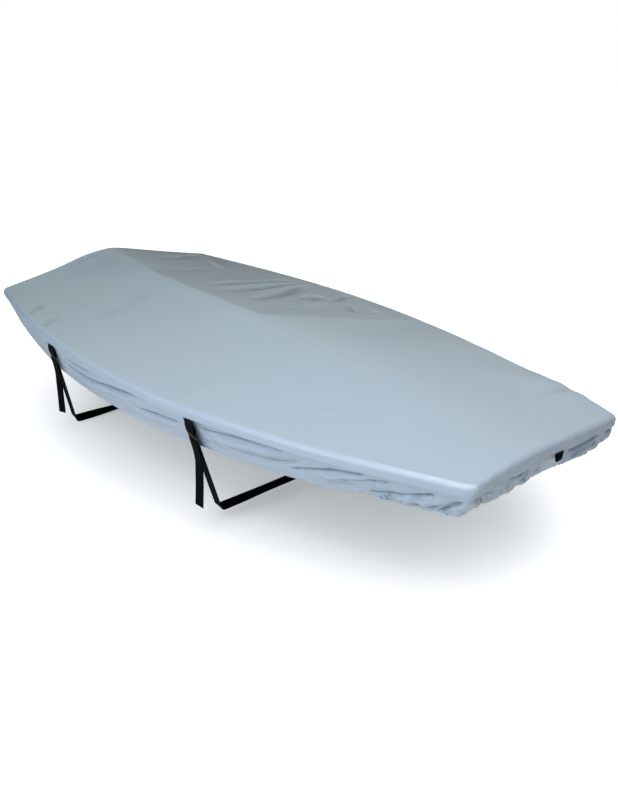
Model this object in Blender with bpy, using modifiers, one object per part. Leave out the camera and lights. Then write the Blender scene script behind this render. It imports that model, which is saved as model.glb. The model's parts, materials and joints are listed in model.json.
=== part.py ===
"""A fitted top cover for a small pram-bowed sailing dinghy, in the shape it takes on the boat.

The cloth is tented to a low ridge aft of the middle, rolls over the boat's rail and ends in a
skirt of four panels. Two webbing straps, each with a tab and a buckle to starboard, pass under
the hull, which isn't modelled. +X is the bow, +Y port and +Z up. Heights in the tables are taken
from the rail amidships; the finished model is lowered so that its origin is the underside of
the top panel at the middle of the boat. Units are metres.
"""

import math
from collections import namedtuple

import bmesh
import bpy
import numpy as np
from mathutils import Vector

# --- The boat's rail, as the outside of the cover follows it ---------------------------------

Breadth = namedtuple("Breadth", "x half")
BREADTHS = (
    Breadth(-1.175, 0.501),
    Breadth(-0.588, 0.580),
    Breadth(0.000, 0.584),
    Breadth(0.588, 0.486),
    Breadth(1.175, 0.306),
)
HALF_LENGTH = 1.182
SHEER_SLOPE = 0.025
SHEER_CURVE = 0.012

# --- Cloth and edge -----------------------------------------------------------------------------

CLOTH = 0.002
GAP = 0.0005
EDGE_WIDTH = 0.028       # from the flat of the top to the outermost line, also the plan's corner radius
ROLL_RADIUS = 0.016
ROLL_START = EDGE_WIDTH - ROLL_RADIUS
ROLL_STEPS = 4
EDGE_RISE = 0.007        # top of the rolled edge over the rail line
EDGE_HEIGHT = 0.030      # top of the rolled edge down to the seam
BOW_EDGE_HEIGHT = 0.029
LAP = 0.012              # how far the skirt runs up inside the top panel
SIDE_LEAN = 0.33         # inward lean of the skirt for each metre of depth
BOW_LEAN = 0.54
STERN_LEAN = 0.12
LEAN_FROM = 0.020        # depth below the rail at which the lean begins
# At the port corner of the bow the skirt hangs freer, with this share of its lean lost.
FREE_CORNER = 0.8
FREE_FROM_X = 0.90
FREE_FROM_Y = 0.06
FREE_REACH = 0.22

# --- The tented top -----------------------------------------------------------------------------

Ridge = namedtuple("Ridge", "x rise rounding")
RIDGE = (
    Ridge(-1.16, 0.105, 0.055),
    Ridge(-0.98, 0.093, 0.020),
    Ridge(-0.80, 0.080, 0.010),
    Ridge(-0.40, 0.075, 0.010),
    Ridge(0.00, 0.075, 0.015),
    Ridge(0.40, 0.100, 0.020),
    Ridge(1.16, 0.160, 0.020),
)
Centre = namedtuple("Centre", "x height rounding")
FORWARD = (
    Centre(-1.16, 0.180, 0.020),
    Centre(-0.40, 0.105, 0.020),
    Centre(0.00, 0.075, 0.025),
    Centre(0.14, 0.066, 0.070),
    Centre(0.35, 0.061, 0.140),
    Centre(0.70, 0.057, 0.180),
    Centre(1.16, 0.058, 0.200),
)
SHEET_LIFT = 0.026       # rise of the forward sheet over the rail where the ridge ends
SHEET_LANDS = 0.28       # where the forward sheet comes down to the rail
SHEET_BLEND = 0.003      # the crease along the forward sheet's aft edge, sharp to port
SHEET_BLEND_STARBOARD = 0.022
SHEET_BLEND_REACH = 0.18
AFT_SAG = 0.004
FORWARD_SAG = 0.003

EdgeRise = namedtuple("EdgeRise", "part rise")
BOW_EDGE = (
    EdgeRise(-1.00, 0.010),
    EdgeRise(-0.72, 0.018),
    EdgeRise(-0.40, 0.021),
    EdgeRise(0.00, 0.016),
    EdgeRise(0.50, 0.006),
    EdgeRise(1.00, -0.003),
)
BOW_EDGE_FROM = 0.72

# A crease lifts (or, below nought, sinks) the cloth beside its route, by its rise, over its width.
Crease = namedtuple("Crease", "rise width route")
TOP_CREASES = (
    Crease(-0.0075, 0.026, ((-0.24, 0.15), (-0.29, 0.31), (-0.39, 0.53))),
    Crease(0.0050, 0.022, ((-0.33, 0.17), (-0.36, 0.34), (-0.41, 0.53))),
    Crease(-0.0045, 0.022, ((-0.40, 0.10), (-0.41, 0.28), (-0.44, 0.52))),
    Crease(0.0035, 0.024, ((-0.46, 0.12), (-0.47, 0.30), (-0.47, 0.50))),
    Crease(-0.0035, 0.022, ((-0.52, 0.14), (-0.53, 0.30), (-0.51, 0.48))),
    Crease(-0.0060, 0.050, ((-0.21, 0.43), (-0.12, 0.36))),
    Crease(0.0045, 0.035, ((-0.20, 0.53), (-0.06, 0.27))),
    Crease(-0.0030, 0.022, ((-0.09, 0.45), (-0.15, 0.53))),
    Crease(-0.0025, 0.022, ((-0.02, 0.45), (0.07, 0.38))),
    Crease(0.0025, 0.025, ((0.03, 0.52), (0.12, 0.46))),
    Crease(-0.0030, 0.024, ((-0.79, 0.12), (-0.80, 0.30))),
    Crease(-0.0070, 0.040, ((-1.00, 0.22), (-1.06, 0.33), (-1.12, 0.45))),
    Crease(0.0050, 0.035, ((-1.06, 0.46), (-0.92, 0.40), (-0.78, 0.36))),
    Crease(-0.0030, 0.030, ((-0.50, -0.39), (-0.51, -0.29), (-0.56, -0.13))),
    Crease(-0.0040, 0.026, ((-0.77, -0.53), (-0.81, -0.47))),
    Crease(-0.0035, 0.026, ((-0.59, -0.54), (-0.63, -0.49))),
    Crease(0.0025, 0.022, ((0.35, 0.18), (0.37, 0.31))),
    Crease(-0.0015, 0.020, ((0.64, -0.29), (0.68, -0.24))),
    Crease(0.0110, 0.090, ((0.92, 0.36), (1.08, 0.32))),
    Crease(0.0080, 0.085, ((-1.16, -0.13), (-1.08, -0.12))),
)

# --- The skirt ----------------------------------------------------------------------------------

Hem = namedtuple("Hem", "along depth")
SIDE_HEM = (
    Hem(-1.17, 0.146),
    Hem(-0.85, 0.153),
    Hem(-0.65, 0.156),
    Hem(-0.30, 0.150),
    Hem(0.00, 0.147),
    Hem(0.20, 0.142),
    Hem(0.40, 0.139),
    Hem(0.60, 0.137),
    Hem(0.76, 0.133),
    Hem(0.85, 0.124),
    Hem(0.93, 0.107),
    Hem(1.02, 0.104),
    Hem(1.12, 0.099),
    Hem(1.17, 0.094),
)
PORT_HEM = SIDE_HEM[:-2] + (Hem(1.10, 0.080), Hem(1.17, 0.050))
BOW_HEM = (
    Hem(-0.310, 0.093),
    Hem(-0.285, 0.066),
    Hem(-0.250, 0.070),
    Hem(-0.190, 0.084),
    Hem(-0.120, 0.085),
    Hem(-0.060, 0.079),
    Hem(0.020, 0.078),
    Hem(0.100, 0.087),
    Hem(0.150, 0.078),
    Hem(0.190, 0.078),
    Hem(0.250, 0.064),
    Hem(0.310, 0.050),
)
STERN_HEM = (
    Hem(-0.50, 0.146),
    Hem(0.00, 0.140),
    Hem(0.50, 0.146),
)
# Routes run along the boat (across it on the bow) and down from the rail line.
STARBOARD_CREASES = (
    Crease(-0.0070, 0.014, ((-0.45, 0.084), (-0.30, 0.082), (-0.18, 0.076), (0.02, 0.048), (0.16, 0.034))),
    Crease(0.0050, 0.018, ((-0.42, 0.060), (-0.28, 0.056), (-0.08, 0.046))),
    Crease(0.0050, 0.020, ((-0.36, 0.118), (-0.16, 0.104), (0.10, 0.060))),
    Crease(-0.0055, 0.014, ((0.08, 0.090), (0.20, 0.078), (0.31, 0.072))),
    Crease(-0.0060, 0.014, ((0.38, 0.066), (0.49, 0.050), (0.58, 0.042), (0.70, 0.036))),
    Crease(0.0055, 0.018, ((0.42, 0.092), (0.54, 0.072), (0.68, 0.058))),
    Crease(-0.0050, 0.016, ((0.52, 0.098), (0.62, 0.090), (0.70, 0.072), (0.75, 0.048))),
    Crease(-0.0065, 0.014, ((0.68, 0.100), (0.75, 0.076), (0.83, 0.050), (0.92, 0.034))),
    Crease(0.0055, 0.014, ((0.78, 0.092), (0.86, 0.064), (0.94, 0.046))),
    Crease(-0.0060, 0.013, ((0.84, 0.080), (0.91, 0.054), (0.99, 0.034))),
    Crease(-0.0065, 0.013, ((0.91, 0.092), (1.00, 0.070), (1.05, 0.052), (1.10, 0.032))),
    Crease(0.0060, 0.013, ((0.98, 0.092), (1.06, 0.074), (1.12, 0.046))),
    Crease(-0.0060, 0.011, ((1.08, 0.086), (1.12, 0.062), (1.16, 0.034))),
)
PORT_CREASES = (
    Crease(-0.0055, 0.020, ((-0.95, 0.060), (-0.60, 0.080), (-0.25, 0.060))),
    Crease(0.0050, 0.024, ((-0.20, 0.095), (0.10, 0.080), (0.30, 0.060))),
    Crease(-0.0060, 0.018, ((0.42, 0.100), (0.62, 0.075), (0.84, 0.050))),
    Crease(0.0055, 0.018, ((0.76, 0.092), (0.92, 0.070), (1.08, 0.048))),
    Crease(-0.0060, 0.016, ((0.90, 0.095), (1.04, 0.072), (1.15, 0.045))),
)
BOW_CREASES = (
    Crease(-0.0045, 0.011, ((-0.30, 0.026), (-0.25, 0.026), (-0.20, 0.034))),
    Crease(0.0055, 0.013, ((-0.29, 0.046), (-0.25, 0.050))),
    Crease(-0.0050, 0.011, ((-0.25, 0.040), (-0.22, 0.070))),
    Crease(0.0050, 0.013, ((-0.20, 0.052), (-0.14, 0.062))),
    Crease(-0.0050, 0.012, ((-0.18, 0.036), (-0.13, 0.026), (-0.09, 0.024))),
    Crease(-0.0050, 0.012, ((-0.08, 0.026), (-0.07, 0.070))),
    Crease(0.0045, 0.013, ((-0.05, 0.034), (-0.02, 0.056))),
    Crease(-0.0055, 0.013, ((0.07, 0.026), (0.11, 0.038), (0.16, 0.034), (0.22, 0.032))),
    Crease(0.0065, 0.017, ((0.10, 0.070), (0.16, 0.062), (0.22, 0.050))),
    Crease(-0.0040, 0.011, ((0.26, 0.036), (0.30, 0.040))),
)
STERN_CREASES = (
    Crease(-0.0050, 0.030, ((-0.44, 0.020), (-0.26, 0.060), (-0.10, 0.090))),
    Crease(0.0045, 0.035, ((0.42, 0.030), (0.24, 0.060), (0.06, 0.080))),
)
CREASE_EASE = 0.014      # below the seam, the depth over which creases grow to full height
CALM_HALF = 0.031        # beside a strap, the half-width of skirt that lies flat
CALM_EASE = 0.030
# The elastic draws the hem into gathers that lessen upwards.
Gather = namedtuple("Gather", "start end pitch height")
SIDE_GATHER = Gather(0.88, 1.18, 0.052, 0.0035)
BOW_GATHER = Gather(-0.32, 0.32, 0.048, 0.0035)
NO_GATHER = Gather(2.0, 3.0, 1.0, 0.0)

# --- Straps, tabs and buckles -------------------------------------------------------------------

WEBBING = 0.0016
STRAP_WIDTH = 0.040
TAB_WIDTH = 0.044
# Where each strap leaves the seam, where and how deep it turns under the hull, and its free tail.
Strap = namedtuple("Strap", "name seam_x chine_x chine_half chine_depth tail")
STRAPS = (
    Strap("mid", 0.360, 0.308, 0.413, 0.405, 0.215),
    Strap("aft", -0.465, -0.655, 0.467, 0.430, 0.205),
)
CHINE_TURN = 0.014
TAB_FROM_SEAM = 0.0015
SKIRT_CLEARANCE = 0.0006
# A profile runs down from the seam and stands off the skirt.
Turn = namedtuple("Turn", "down off")
TAB_PROFILE = (
    Turn(0.0000, 0.0030),
    Turn(0.0150, 0.0032),
    Turn(0.0350, 0.0060),
    Turn(0.0500, 0.0068),
    Turn(0.0570, 0.0062),
    Turn(0.0592, 0.0040),
    Turn(0.0570, 0.0016),
    Turn(0.0500, 0.0009),
    Turn(0.0350, 0.0009),
    Turn(0.0140, 0.0009),
)
STRAP_PROFILE = (
    Turn(0.1300, 0.0009),
    Turn(0.1050, 0.0009),
    Turn(0.0880, 0.0009),
    Turn(0.0800, 0.0014),
    Turn(0.0772, 0.0040),
    Turn(0.0800, 0.0066),
    Turn(0.0890, 0.0072),
    Turn(0.1000, 0.0080),
)
# The free tail leaves the buckle beside its strap, then hangs: share of its drop, and how far it
# has followed the strap.
TailTurn = namedtuple("TailTurn", "part followed")
TAIL = (
    TailTurn(1.00, 0.018),
    TailTurn(0.75, 0.035),
    TailTurn(0.50, 0.047),
    TailTurn(0.33, 0.050),
    TailTurn(0.14, 0.028),
)
PORT_PROFILE = (
    Turn(0.1700, 0.0009),
    Turn(0.1100, 0.0009),
    Turn(0.0500, 0.0009),
    Turn(0.0150, 0.0024),
    Turn(0.0000, 0.0031),
)
BUCKLE_TOP = 0.0480
BUCKLE_LENGTH = 0.0440
BUCKLE_WIDTH = 0.0505
BUCKLE_THICK = 0.0024
BUCKLE_OFF = 0.0040
BUCKLE_BEVEL = 0.0007
SLOT_WIDTH = 0.0454
SLOT_HEIGHT = 0.0080
TAB_SLOT = 0.0585
STRAP_SLOT = 0.0785

BOW_TAB_Y = 0.029
BOW_TAB_WIDTH = 0.030
BOW_TAB_PROFILE = (
    Turn(0.0000, 0.0036),
    Turn(0.0140, 0.0046),
    Turn(0.0216, 0.0046),
    Turn(0.0234, 0.0038),
    Turn(0.0240, 0.0027),
    Turn(0.0234, 0.0016),
    Turn(0.0216, 0.0009),
    Turn(0.0140, 0.0009),
    Turn(0.0045, 0.0009),
)

# --- Mesh steps ---------------------------------------------------------------------------------

TOP_ALONG = 46
TOP_ACROSS = 24
SIDE_ALONG = 58
PORT_ALONG = 40
BOW_ALONG = 36
STERN_ALONG = 22
SKIRT_ROWS = 6
CORNER_STEPS = 3
RIBBON_STEP = 0.030

# --- Curves from tables -------------------------------------------------------------------------


def curve(places, values, place):
    """Smooth curve through the values of a table, level beyond its ends."""
    places = np.asarray(places, float)
    values = np.asarray(values, float)
    slopes = np.zeros(len(places))
    slopes[1:-1] = (values[2:] - values[:-2]) / (places[2:] - places[:-2])
    slopes[0] = (values[1] - values[0]) / (places[1] - places[0])
    slopes[-1] = (values[-1] - values[-2]) / (places[-1] - places[-2])
    at = min(max(place, places[0]), places[-1])
    row = min(int(np.searchsorted(places, at, side="right")) - 1, len(places) - 2)
    span = places[row + 1] - places[row]
    part = (at - places[row]) / span
    start = values[row] * (1 + 2 * part) * (1 - part) ** 2 + slopes[row] * span * part * (1 - part) ** 2
    end = values[row + 1] * part ** 2 * (3 - 2 * part) - slopes[row + 1] * span * part ** 2 * (1 - part)
    return float(start + end)


def column(table, name):
    """One named column of a table."""
    return [getattr(row, name) for row in table]


def ease(value):
    """Smooth step from 0 to 1."""
    part = min(max(value, 0.0), 1.0)
    return part * part * (3 - 2 * part)


BREADTH_CURVE = np.polyfit(column(BREADTHS, "x"), column(BREADTHS, "half"), len(BREADTHS) - 1)
BREADTH_SLOPE = np.polyder(BREADTH_CURVE)
CORE_END = HALF_LENGTH - EDGE_WIDTH


def core_half(x):
    """Half-breadth of the flat of the top, inside its rolled edge."""
    return float(np.polyval(BREADTH_CURVE, x)) - EDGE_WIDTH


def rail(x):
    """Height of the rail line, which rises to the bow."""
    part = x / HALF_LENGTH
    return SHEER_SLOPE * part + SHEER_CURVE * part * part


def route_distance(x, y, route):
    """Distance from a point to a broken line."""
    nearest = 10.0
    for (x0, y0), (x1, y1) in zip(route[:-1], route[1:]):
        span = Vector((x1 - x0, y1 - y0))
        along = (Vector((x - x0, y - y0)).dot(span)) / span.length_squared
        along = min(max(along, 0.0), 1.0)
        nearest = min(nearest, math.hypot(x - x0 - along * span.x, y - y0 - along * span.y))
    return nearest


def crease_height(x, y, creases):
    """Sum of the creases at a point."""
    total = 0.0
    for crease in creases:
        total += crease.rise * math.exp(-(route_distance(x, y, crease.route) / crease.width) ** 2)
    return total


def tent(y, half, rounding):
    """0 on the centre line, 1 at the rail, straight between but for a rounded ridge."""
    reach = math.hypot(half, rounding) - rounding
    return min((math.hypot(y, rounding) - rounding) / reach, 1.0)


def top_height(x, y):
    """Height of the outer face of the top panel, inside its rolled edge."""
    x = min(max(x, -CORE_END - ROLL_START), CORE_END + ROLL_START)
    half = core_half(x) + ROLL_START
    part = min(abs(y) / half, 1.0)
    edge = rail(x) + EDGE_RISE
    ridge = rail(x) + curve(column(RIDGE, "x"), column(RIDGE, "rise"), x)
    ridge_rounding = curve(column(RIDGE, "x"), column(RIDGE, "rounding"), x)
    aft = edge + (ridge - edge) * (1 - tent(y, half, ridge_rounding))
    aft += 0.1 * max(x - SHEET_LANDS, 0.0) - AFT_SAG * math.sin(math.pi * part)
    centre = curve(column(FORWARD, "x"), column(FORWARD, "height"), x)
    rounding = curve(column(FORWARD, "x"), column(FORWARD, "rounding"), x)
    lift = SHEET_LIFT * max(1 - x / SHEET_LANDS, 0.0)
    forward = edge + lift + (centre - edge - lift) * (1 - tent(y, half, rounding))
    forward -= FORWARD_SAG * math.sin(math.pi * part)
    bow_edge = edge + curve(column(BOW_EDGE, "part"), column(BOW_EDGE, "rise"), y / half)
    to_bow = ease((x - BOW_EDGE_FROM) / (CORE_END + ROLL_START - BOW_EDGE_FROM))
    forward += (bow_edge - forward) * to_bow
    blend = SHEET_BLEND + (SHEET_BLEND_STARBOARD - SHEET_BLEND) * ease(-y / SHEET_BLEND_REACH)
    height = 0.5 * (aft + forward - math.hypot(aft - forward, blend))
    return height + crease_height(x, y, TOP_CREASES)


ORIGIN_HEIGHT = top_height(0.0, 0.0) - CLOTH


def place(x, y, height):
    """A point of the model from its plan place and its height over the rail amidships."""
    return Vector((x, y, height - ORIGIN_HEIGHT))


# --- The rim: the rolled edge and what hangs from it --------------------------------------------


def side_direction(x, side):
    """Outward direction, in plan, of the rail at x; side is -1 to starboard and 1 to port."""
    slope = float(np.polyval(BREADTH_SLOPE, x))
    return Vector((-slope, side)).normalized()


def corner_direction(x, side, end, part):
    """Outward direction turned from the side of the boat (0) to its end (1)."""
    along = side_direction(x, side)
    across = Vector((end, 0.0))
    turn = along.angle_signed(across)
    angle = math.atan2(along.y, along.x) - turn * part
    return Vector((math.cos(angle), math.sin(angle)))


def edge_height_at(x, y):
    """Height of the top of the rolled edge beside a point, and its drop to the seam."""
    at_bow = ease((x - CORE_END + 0.06) / 0.06)
    drop = EDGE_HEIGHT + (BOW_EDGE_HEIGHT - EDGE_HEIGHT) * at_bow
    return top_height(x, y), drop


def edge_ring(base, direction, ring):
    """A point of the rolled edge: ring 1 ends the flat, then the roll, then the seam."""
    start = base + direction * ROLL_START
    height, drop = edge_height_at(start.x, start.y)
    if ring == 1:
        return place(start.x, start.y, height)
    if ring > ROLL_STEPS + 1:
        out = base + direction * EDGE_WIDTH
        return place(out.x, out.y, height - drop)
    angle = math.pi / 2 * (ring - 1) / ROLL_STEPS
    out = base + direction * (ROLL_START + ROLL_RADIUS * math.sin(angle))
    return place(out.x, out.y, height - ROLL_RADIUS * (1 - math.cos(angle)))


TOP_RINGS = ROLL_STEPS + 2


def top_point(along, across):
    """A point of the top panel from its grid place; the outer rings are the rolled edge."""
    past_x = max(TOP_RINGS - along, along - TOP_RINGS - TOP_ALONG, 0)
    past_y = max(TOP_RINGS - across, across - TOP_RINGS - TOP_ACROSS, 0)
    column_number = min(max(along - TOP_RINGS, 0), TOP_ALONG)
    row_number = min(max(across - TOP_RINGS, 0), TOP_ACROSS)
    x = CORE_END * (2 * column_number / TOP_ALONG - 1)
    y = core_half(x) * (2 * row_number / TOP_ACROSS - 1)
    ring = max(past_x, past_y)
    if ring == 0:
        return place(x, y, top_height(x, y))
    end = 1 if along > TOP_RINGS + TOP_ALONG / 2 else -1
    side = 1 if across > TOP_RINGS + TOP_ACROSS / 2 else -1
    part = 0.5 * past_x / ring if past_y >= past_x else 1 - 0.5 * past_y / ring
    direction = corner_direction(x, side, end, part)
    return edge_ring(Vector((x, y)), direction, ring)


def freed(x, y):
    """Share of the skirt's lean that is lost beside a point of the rim."""
    return FREE_CORNER * ease((x - FREE_FROM_X) / FREE_REACH) * ease((y - FREE_FROM_Y) / FREE_REACH)


class Panel:
    """One skirt panel: which way it faces, its hem and its creases."""

    def __init__(self, name, side, end, steps, hem, creases, gather, fades=()):
        self.name = name
        self.side = side
        self.end = end
        self.steps = steps
        self.hem = hem
        self.creases = creases
        self.gather = gather
        self.fades = fades

    def base(self, part, depth):
        """Plan point inside the skirt at a place along the panel (-1 to 1) and a depth."""
        rim_x = CORE_END * (part if self.side else self.end)
        rim_y = core_half(rim_x) * (self.side or part)
        below = max(depth - LEAN_FROM, 0.0) * (1 - freed(rim_x, rim_y))
        bow = CORE_END - BOW_LEAN * below
        stern = -CORE_END + STERN_LEAN * below
        if self.side:
            x = stern + (bow - stern) * (part + 1) / 2
        else:
            x = bow if self.end > 0 else stern
        return Vector((x, rim_y - SIDE_LEAN * below * (self.side or part)))

    def direction(self, part, turn):
        """Outward direction; turn is 0 along the panel and 1 at its corner seam."""
        if self.side:
            end = 1 if part > 0 else -1
            return corner_direction(CORE_END * part, self.side, end, 0.5 * turn)
        side = 1 if part > 0 else -1
        return corner_direction(self.end * CORE_END, side, self.end, 1 - 0.5 * turn)

    def relief(self, along, depth, seam_depth, hem_depth):
        """How far the cloth stands out of its plain surface."""
        fade = ease((depth - seam_depth) / CREASE_EASE)
        for middle in self.fades:
            fade *= ease((abs(along - middle) - CALM_HALF) / CALM_EASE)
        total = crease_height(along, depth, self.creases)
        gather = self.gather
        inside = ease((along - gather.start) / gather.pitch) * ease((gather.end - along) / gather.pitch)
        down = max(depth - seam_depth, 0.0) / (hem_depth - seam_depth)
        wave = math.sin(2 * math.pi * along / gather.pitch + 1.3 * math.sin(9 * along))
        return fade * (total + gather.height * inside * down * wave)

    def point(self, part, turn, row):
        """A point of the outer face: row 0 is the lapped top edge and the last is the hem."""
        rim = self.base(part, 0.0)
        direction = self.direction(part, turn)
        start = rim + direction * ROLL_START
        height, drop = edge_height_at(start.x, start.y)
        level = rail(start.x)
        seam_depth = level - height + drop
        outer = rim + direction * EDGE_WIDTH
        hem_depth = curve(column(self.hem, "along"), column(self.hem, "depth"), outer[0 if self.side else 1])
        if row == 0:
            depth = seam_depth - LAP
        else:
            depth = seam_depth + (hem_depth - seam_depth) * (row - 1) / (SKIRT_ROWS - 1)
        base = self.base(part, depth)
        along = (base + direction * EDGE_WIDTH)[0 if self.side else 1]
        out = EDGE_WIDTH - CLOTH - GAP + (1 - turn) * self.relief(along, depth, seam_depth, hem_depth)
        spot = base + direction * out
        return place(spot.x, spot.y, level - depth)


def panel_point(panel, number, row):
    """A point of a panel from its grid place, with a corner quarter at each end."""
    last = panel.steps + 2 * CORNER_STEPS
    inner = min(max(number - CORNER_STEPS, 0), panel.steps)
    part = 2 * inner / panel.steps - 1
    past = max(CORNER_STEPS - number, number - CORNER_STEPS - panel.steps, 0)
    point = panel.point(part, past / CORNER_STEPS, row)
    if number in (0, last):
        beside = panel.point(part, (CORNER_STEPS - 1) / CORNER_STEPS, row)
        point += (beside - point).normalized() * GAP
    return point


# --- Making objects -----------------------------------------------------------------------------


def clear_scene():
    """Remove every object."""
    for item in list(bpy.data.objects):
        bpy.data.objects.remove(item, do_unlink=True)


def make_material(name, colour, roughness):
    """A plain finish."""
    material = bpy.data.materials.new(name)
    material.use_nodes = True
    shader = material.node_tree.nodes["Principled BSDF"]
    shader.inputs["Base Color"].default_value = (*colour, 1.0)
    shader.inputs["Roughness"].default_value = roughness
    shader.inputs["Metallic"].default_value = 0.0
    return material


def add_object(name, mesh, material, collection):
    """Link a mesh as a named object with one material."""
    mesh.materials.append(material)
    item = bpy.data.objects.new(name, mesh)
    collection.objects.link(item)
    return item


def sheet(name, columns, rows, mapped, outward, thickness, offset, material, collection):
    """A grid mapped to a surface and given its thickness, its face turned outward."""
    shape = bmesh.new()
    bmesh.ops.create_grid(shape, x_segments=columns, y_segments=rows, size=0.5)
    for vertex in shape.verts:
        number = round((vertex.co.x + 0.5) * columns)
        row = round((vertex.co.y + 0.5) * rows)
        vertex.co = mapped(number, row)
    shape.normal_update()
    lean = sum(face.normal.dot(outward(face.calc_center_median())) for face in shape.faces)
    if lean < 0:
        bmesh.ops.reverse_faces(shape, faces=shape.faces)
    mesh = bpy.data.meshes.new(name)
    shape.to_mesh(mesh)
    shape.free()
    mesh.shade_smooth()
    item = add_object(name, mesh, material, collection)
    wall = item.modifiers.new("thickness", "SOLIDIFY")
    wall.thickness = thickness
    wall.offset = offset
    wall.use_even_offset = True
    return item


def ribbon(name, route, width, face, material, collection, sewn=None):
    """A flat strap along a route; face gives, for a point, the way its width lies.

    sewn is the number of the end (0 or -1) that is cut along the seam instead of square.
    """
    points = resample(route, RIBBON_STEP)
    edges = []
    for number, point in enumerate(points):
        before = points[max(number - 1, 0)]
        after = points[min(number + 1, len(points) - 1)]
        tangent = (after - before).normalized()
        across = face(point) - tangent * face(point).dot(tangent)
        edges.append((point, across.normalized() * (width / 2)))
    if sewn is not None:
        point, across = edges[sewn]
        along = Vector((1.0, 0.0, 0.0))
        edges[sewn] = (point, along * (across.length_squared / along.dot(across)))

    def mapped(number, row):
        point, across = edges[number]
        return point + across * (2 * row - 1)

    return sheet(name, len(points) - 1, 1, mapped, lambda _: Vector((0.0, 0.0, 1.0)), WEBBING, 0.0,
                 material, collection)


def resample(route, step):
    """Points along a smooth curve through a route: few on its long runs, all of them in its turns."""
    lengths = [0.0]
    for before, after in zip(route[:-1], route[1:]):
        lengths.append(lengths[-1] + (after - before).length)
    result = []
    for number in range(len(route) - 1):
        run = lengths[number + 1] - lengths[number]
        parts = max(1, math.ceil(run / step))
        for part in range(parts):
            at = lengths[number] + run * part / parts
            result.append(Vector([curve(lengths, [spot[axis] for spot in route], at) for axis in range(3)]))
    result.append(route[-1].copy())
    return result


# --- Fittings -----------------------------------------------------------------------------------


class Hang:
    """The line in which a tab and strap hang: a point under the seam, down, across and outward."""

    def __init__(self, start, turn_point, side):
        self.start = start
        self.down = (turn_point - start).normalized()
        across = Vector((1.0, 0.0, 0.0))
        across -= self.down * across.dot(self.down)
        self.across = across.normalized()
        outward = self.down.cross(self.across)
        self.out = outward if outward.y * side > 0 else -outward

    def at(self, turn):
        """World point of a profile row."""
        return self.start + self.down * turn.down + self.out * turn.off


def seam_spot(x, side):
    """Point on the skirt's outer face, just under the seam."""
    panel = Panel("", side, 0, 1, SIDE_HEM, (), NO_GATHER)
    part = x / CORE_END
    rim = panel.base(part, 0.0)
    direction = panel.direction(part, 0.0)
    start = rim + direction * ROLL_START
    height, drop = edge_height_at(start.x, start.y)
    out = rim + direction * (EDGE_WIDTH - CLOTH - GAP + SKIRT_CLEARANCE)
    return place(out.x, out.y, height - drop - TAB_FROM_SEAM)


def chine_spot(strap, side, part):
    """Point of the turn under the hull: 0 on the hull's side, 0.5 at the bend, 1 on its bottom."""
    height = rail(strap.chine_x) - strap.chine_depth
    turn = math.pi / 2 * part
    return place(strap.chine_x, side * (strap.chine_half - CHINE_TURN * (1 - math.cos(turn))),
                 height + CHINE_TURN * (1 - math.sin(turn)))


def strap_route(strap, hang):
    """Route and face of a strap: free tail, round the buckle's bar, under the hull, up to port."""
    front = [hang.at(turn) for turn in reversed(STRAP_PROFILE)]
    drift = Vector((hang.down.x, hang.down.y, 0.0)) / -hang.down.z
    tail = [front[0] + drift * turn.followed - Vector((0.0, 0.0, turn.part * strap.tail)) for turn in TAIL]
    starboard = [chine_spot(strap, -1, part) for part in (0.0, 0.5, 1.0)]
    bottom = [place(strap.chine_x, part * strap.chine_half, rail(strap.chine_x) - strap.chine_depth)
              for part in (-0.5, 0.0, 0.5)]
    port = [chine_spot(strap, 1, part) for part in (1.0, 0.5, 0.0)]
    port_hang = Hang(seam_spot(strap.seam_x, 1), port[-1], 1)
    ends = [port_hang.at(turn) for turn in PORT_PROFILE]

    def face(point):
        if point.y < 0:
            part = ease((-point.y / strap.chine_half - 0.5) / 0.4)
            return Vector((1.0, 0.0, 0.0)).lerp(hang.across, part)
        part = ease((point.y / strap.chine_half - 0.5) / 0.4)
        return Vector((1.0, 0.0, 0.0)).lerp(port_hang.across, part)

    return tail + front + starboard + bottom + port + ends, face


def buckle(name, hang, material, collection, cutters):
    """A flat two-slot buckle, cut from a bevelled plate."""

    def block(part_name, width, length, depth, down):
        middle = hang.start + hang.down * down + hang.out * BUCKLE_OFF
        shape = bmesh.new()
        bmesh.ops.create_cube(shape, size=1.0)
        for vertex in shape.verts:
            across, along, off = vertex.co.x * width, vertex.co.y * length, vertex.co.z * depth
            vertex.co = middle + hang.across * across + hang.down * along + hang.out * off
        bmesh.ops.recalc_face_normals(shape, faces=shape.faces)
        mesh = bpy.data.meshes.new(part_name)
        shape.to_mesh(mesh)
        shape.free()
        return mesh

    plate = add_object(name, block(name, BUCKLE_WIDTH, BUCKLE_LENGTH, BUCKLE_THICK,
                                   BUCKLE_TOP + BUCKLE_LENGTH / 2), material, collection)
    edge = plate.modifiers.new("edges", "BEVEL")
    edge.width = BUCKLE_BEVEL
    edge.segments = 1
    edge.limit_method = "ANGLE"
    for slot_name, down in (("tab", TAB_SLOT), ("strap", STRAP_SLOT)):
        opening = block(slot_name, SLOT_WIDTH, SLOT_HEIGHT, BUCKLE_THICK * 4, down)
        cutter = add_object(f"{name}_{slot_name}_slot", opening, material, cutters)
        cutter.hide_render = True
        cutter.display_type = "WIRE"
        cut = plate.modifiers.new(slot_name, "BOOLEAN")
        cut.operation = "DIFFERENCE"
        cut.object = cutter
    return plate


# --- The cover ----------------------------------------------------------------------------------


def build_top(material, collection):
    """The tented top with its rolled edge."""
    return sheet("top_panel", TOP_ALONG + 2 * TOP_RINGS, TOP_ACROSS + 2 * TOP_RINGS, top_point,
                 lambda _: Vector((0.0, 0.0, 1.0)), CLOTH, -1.0, material, collection)


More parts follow.
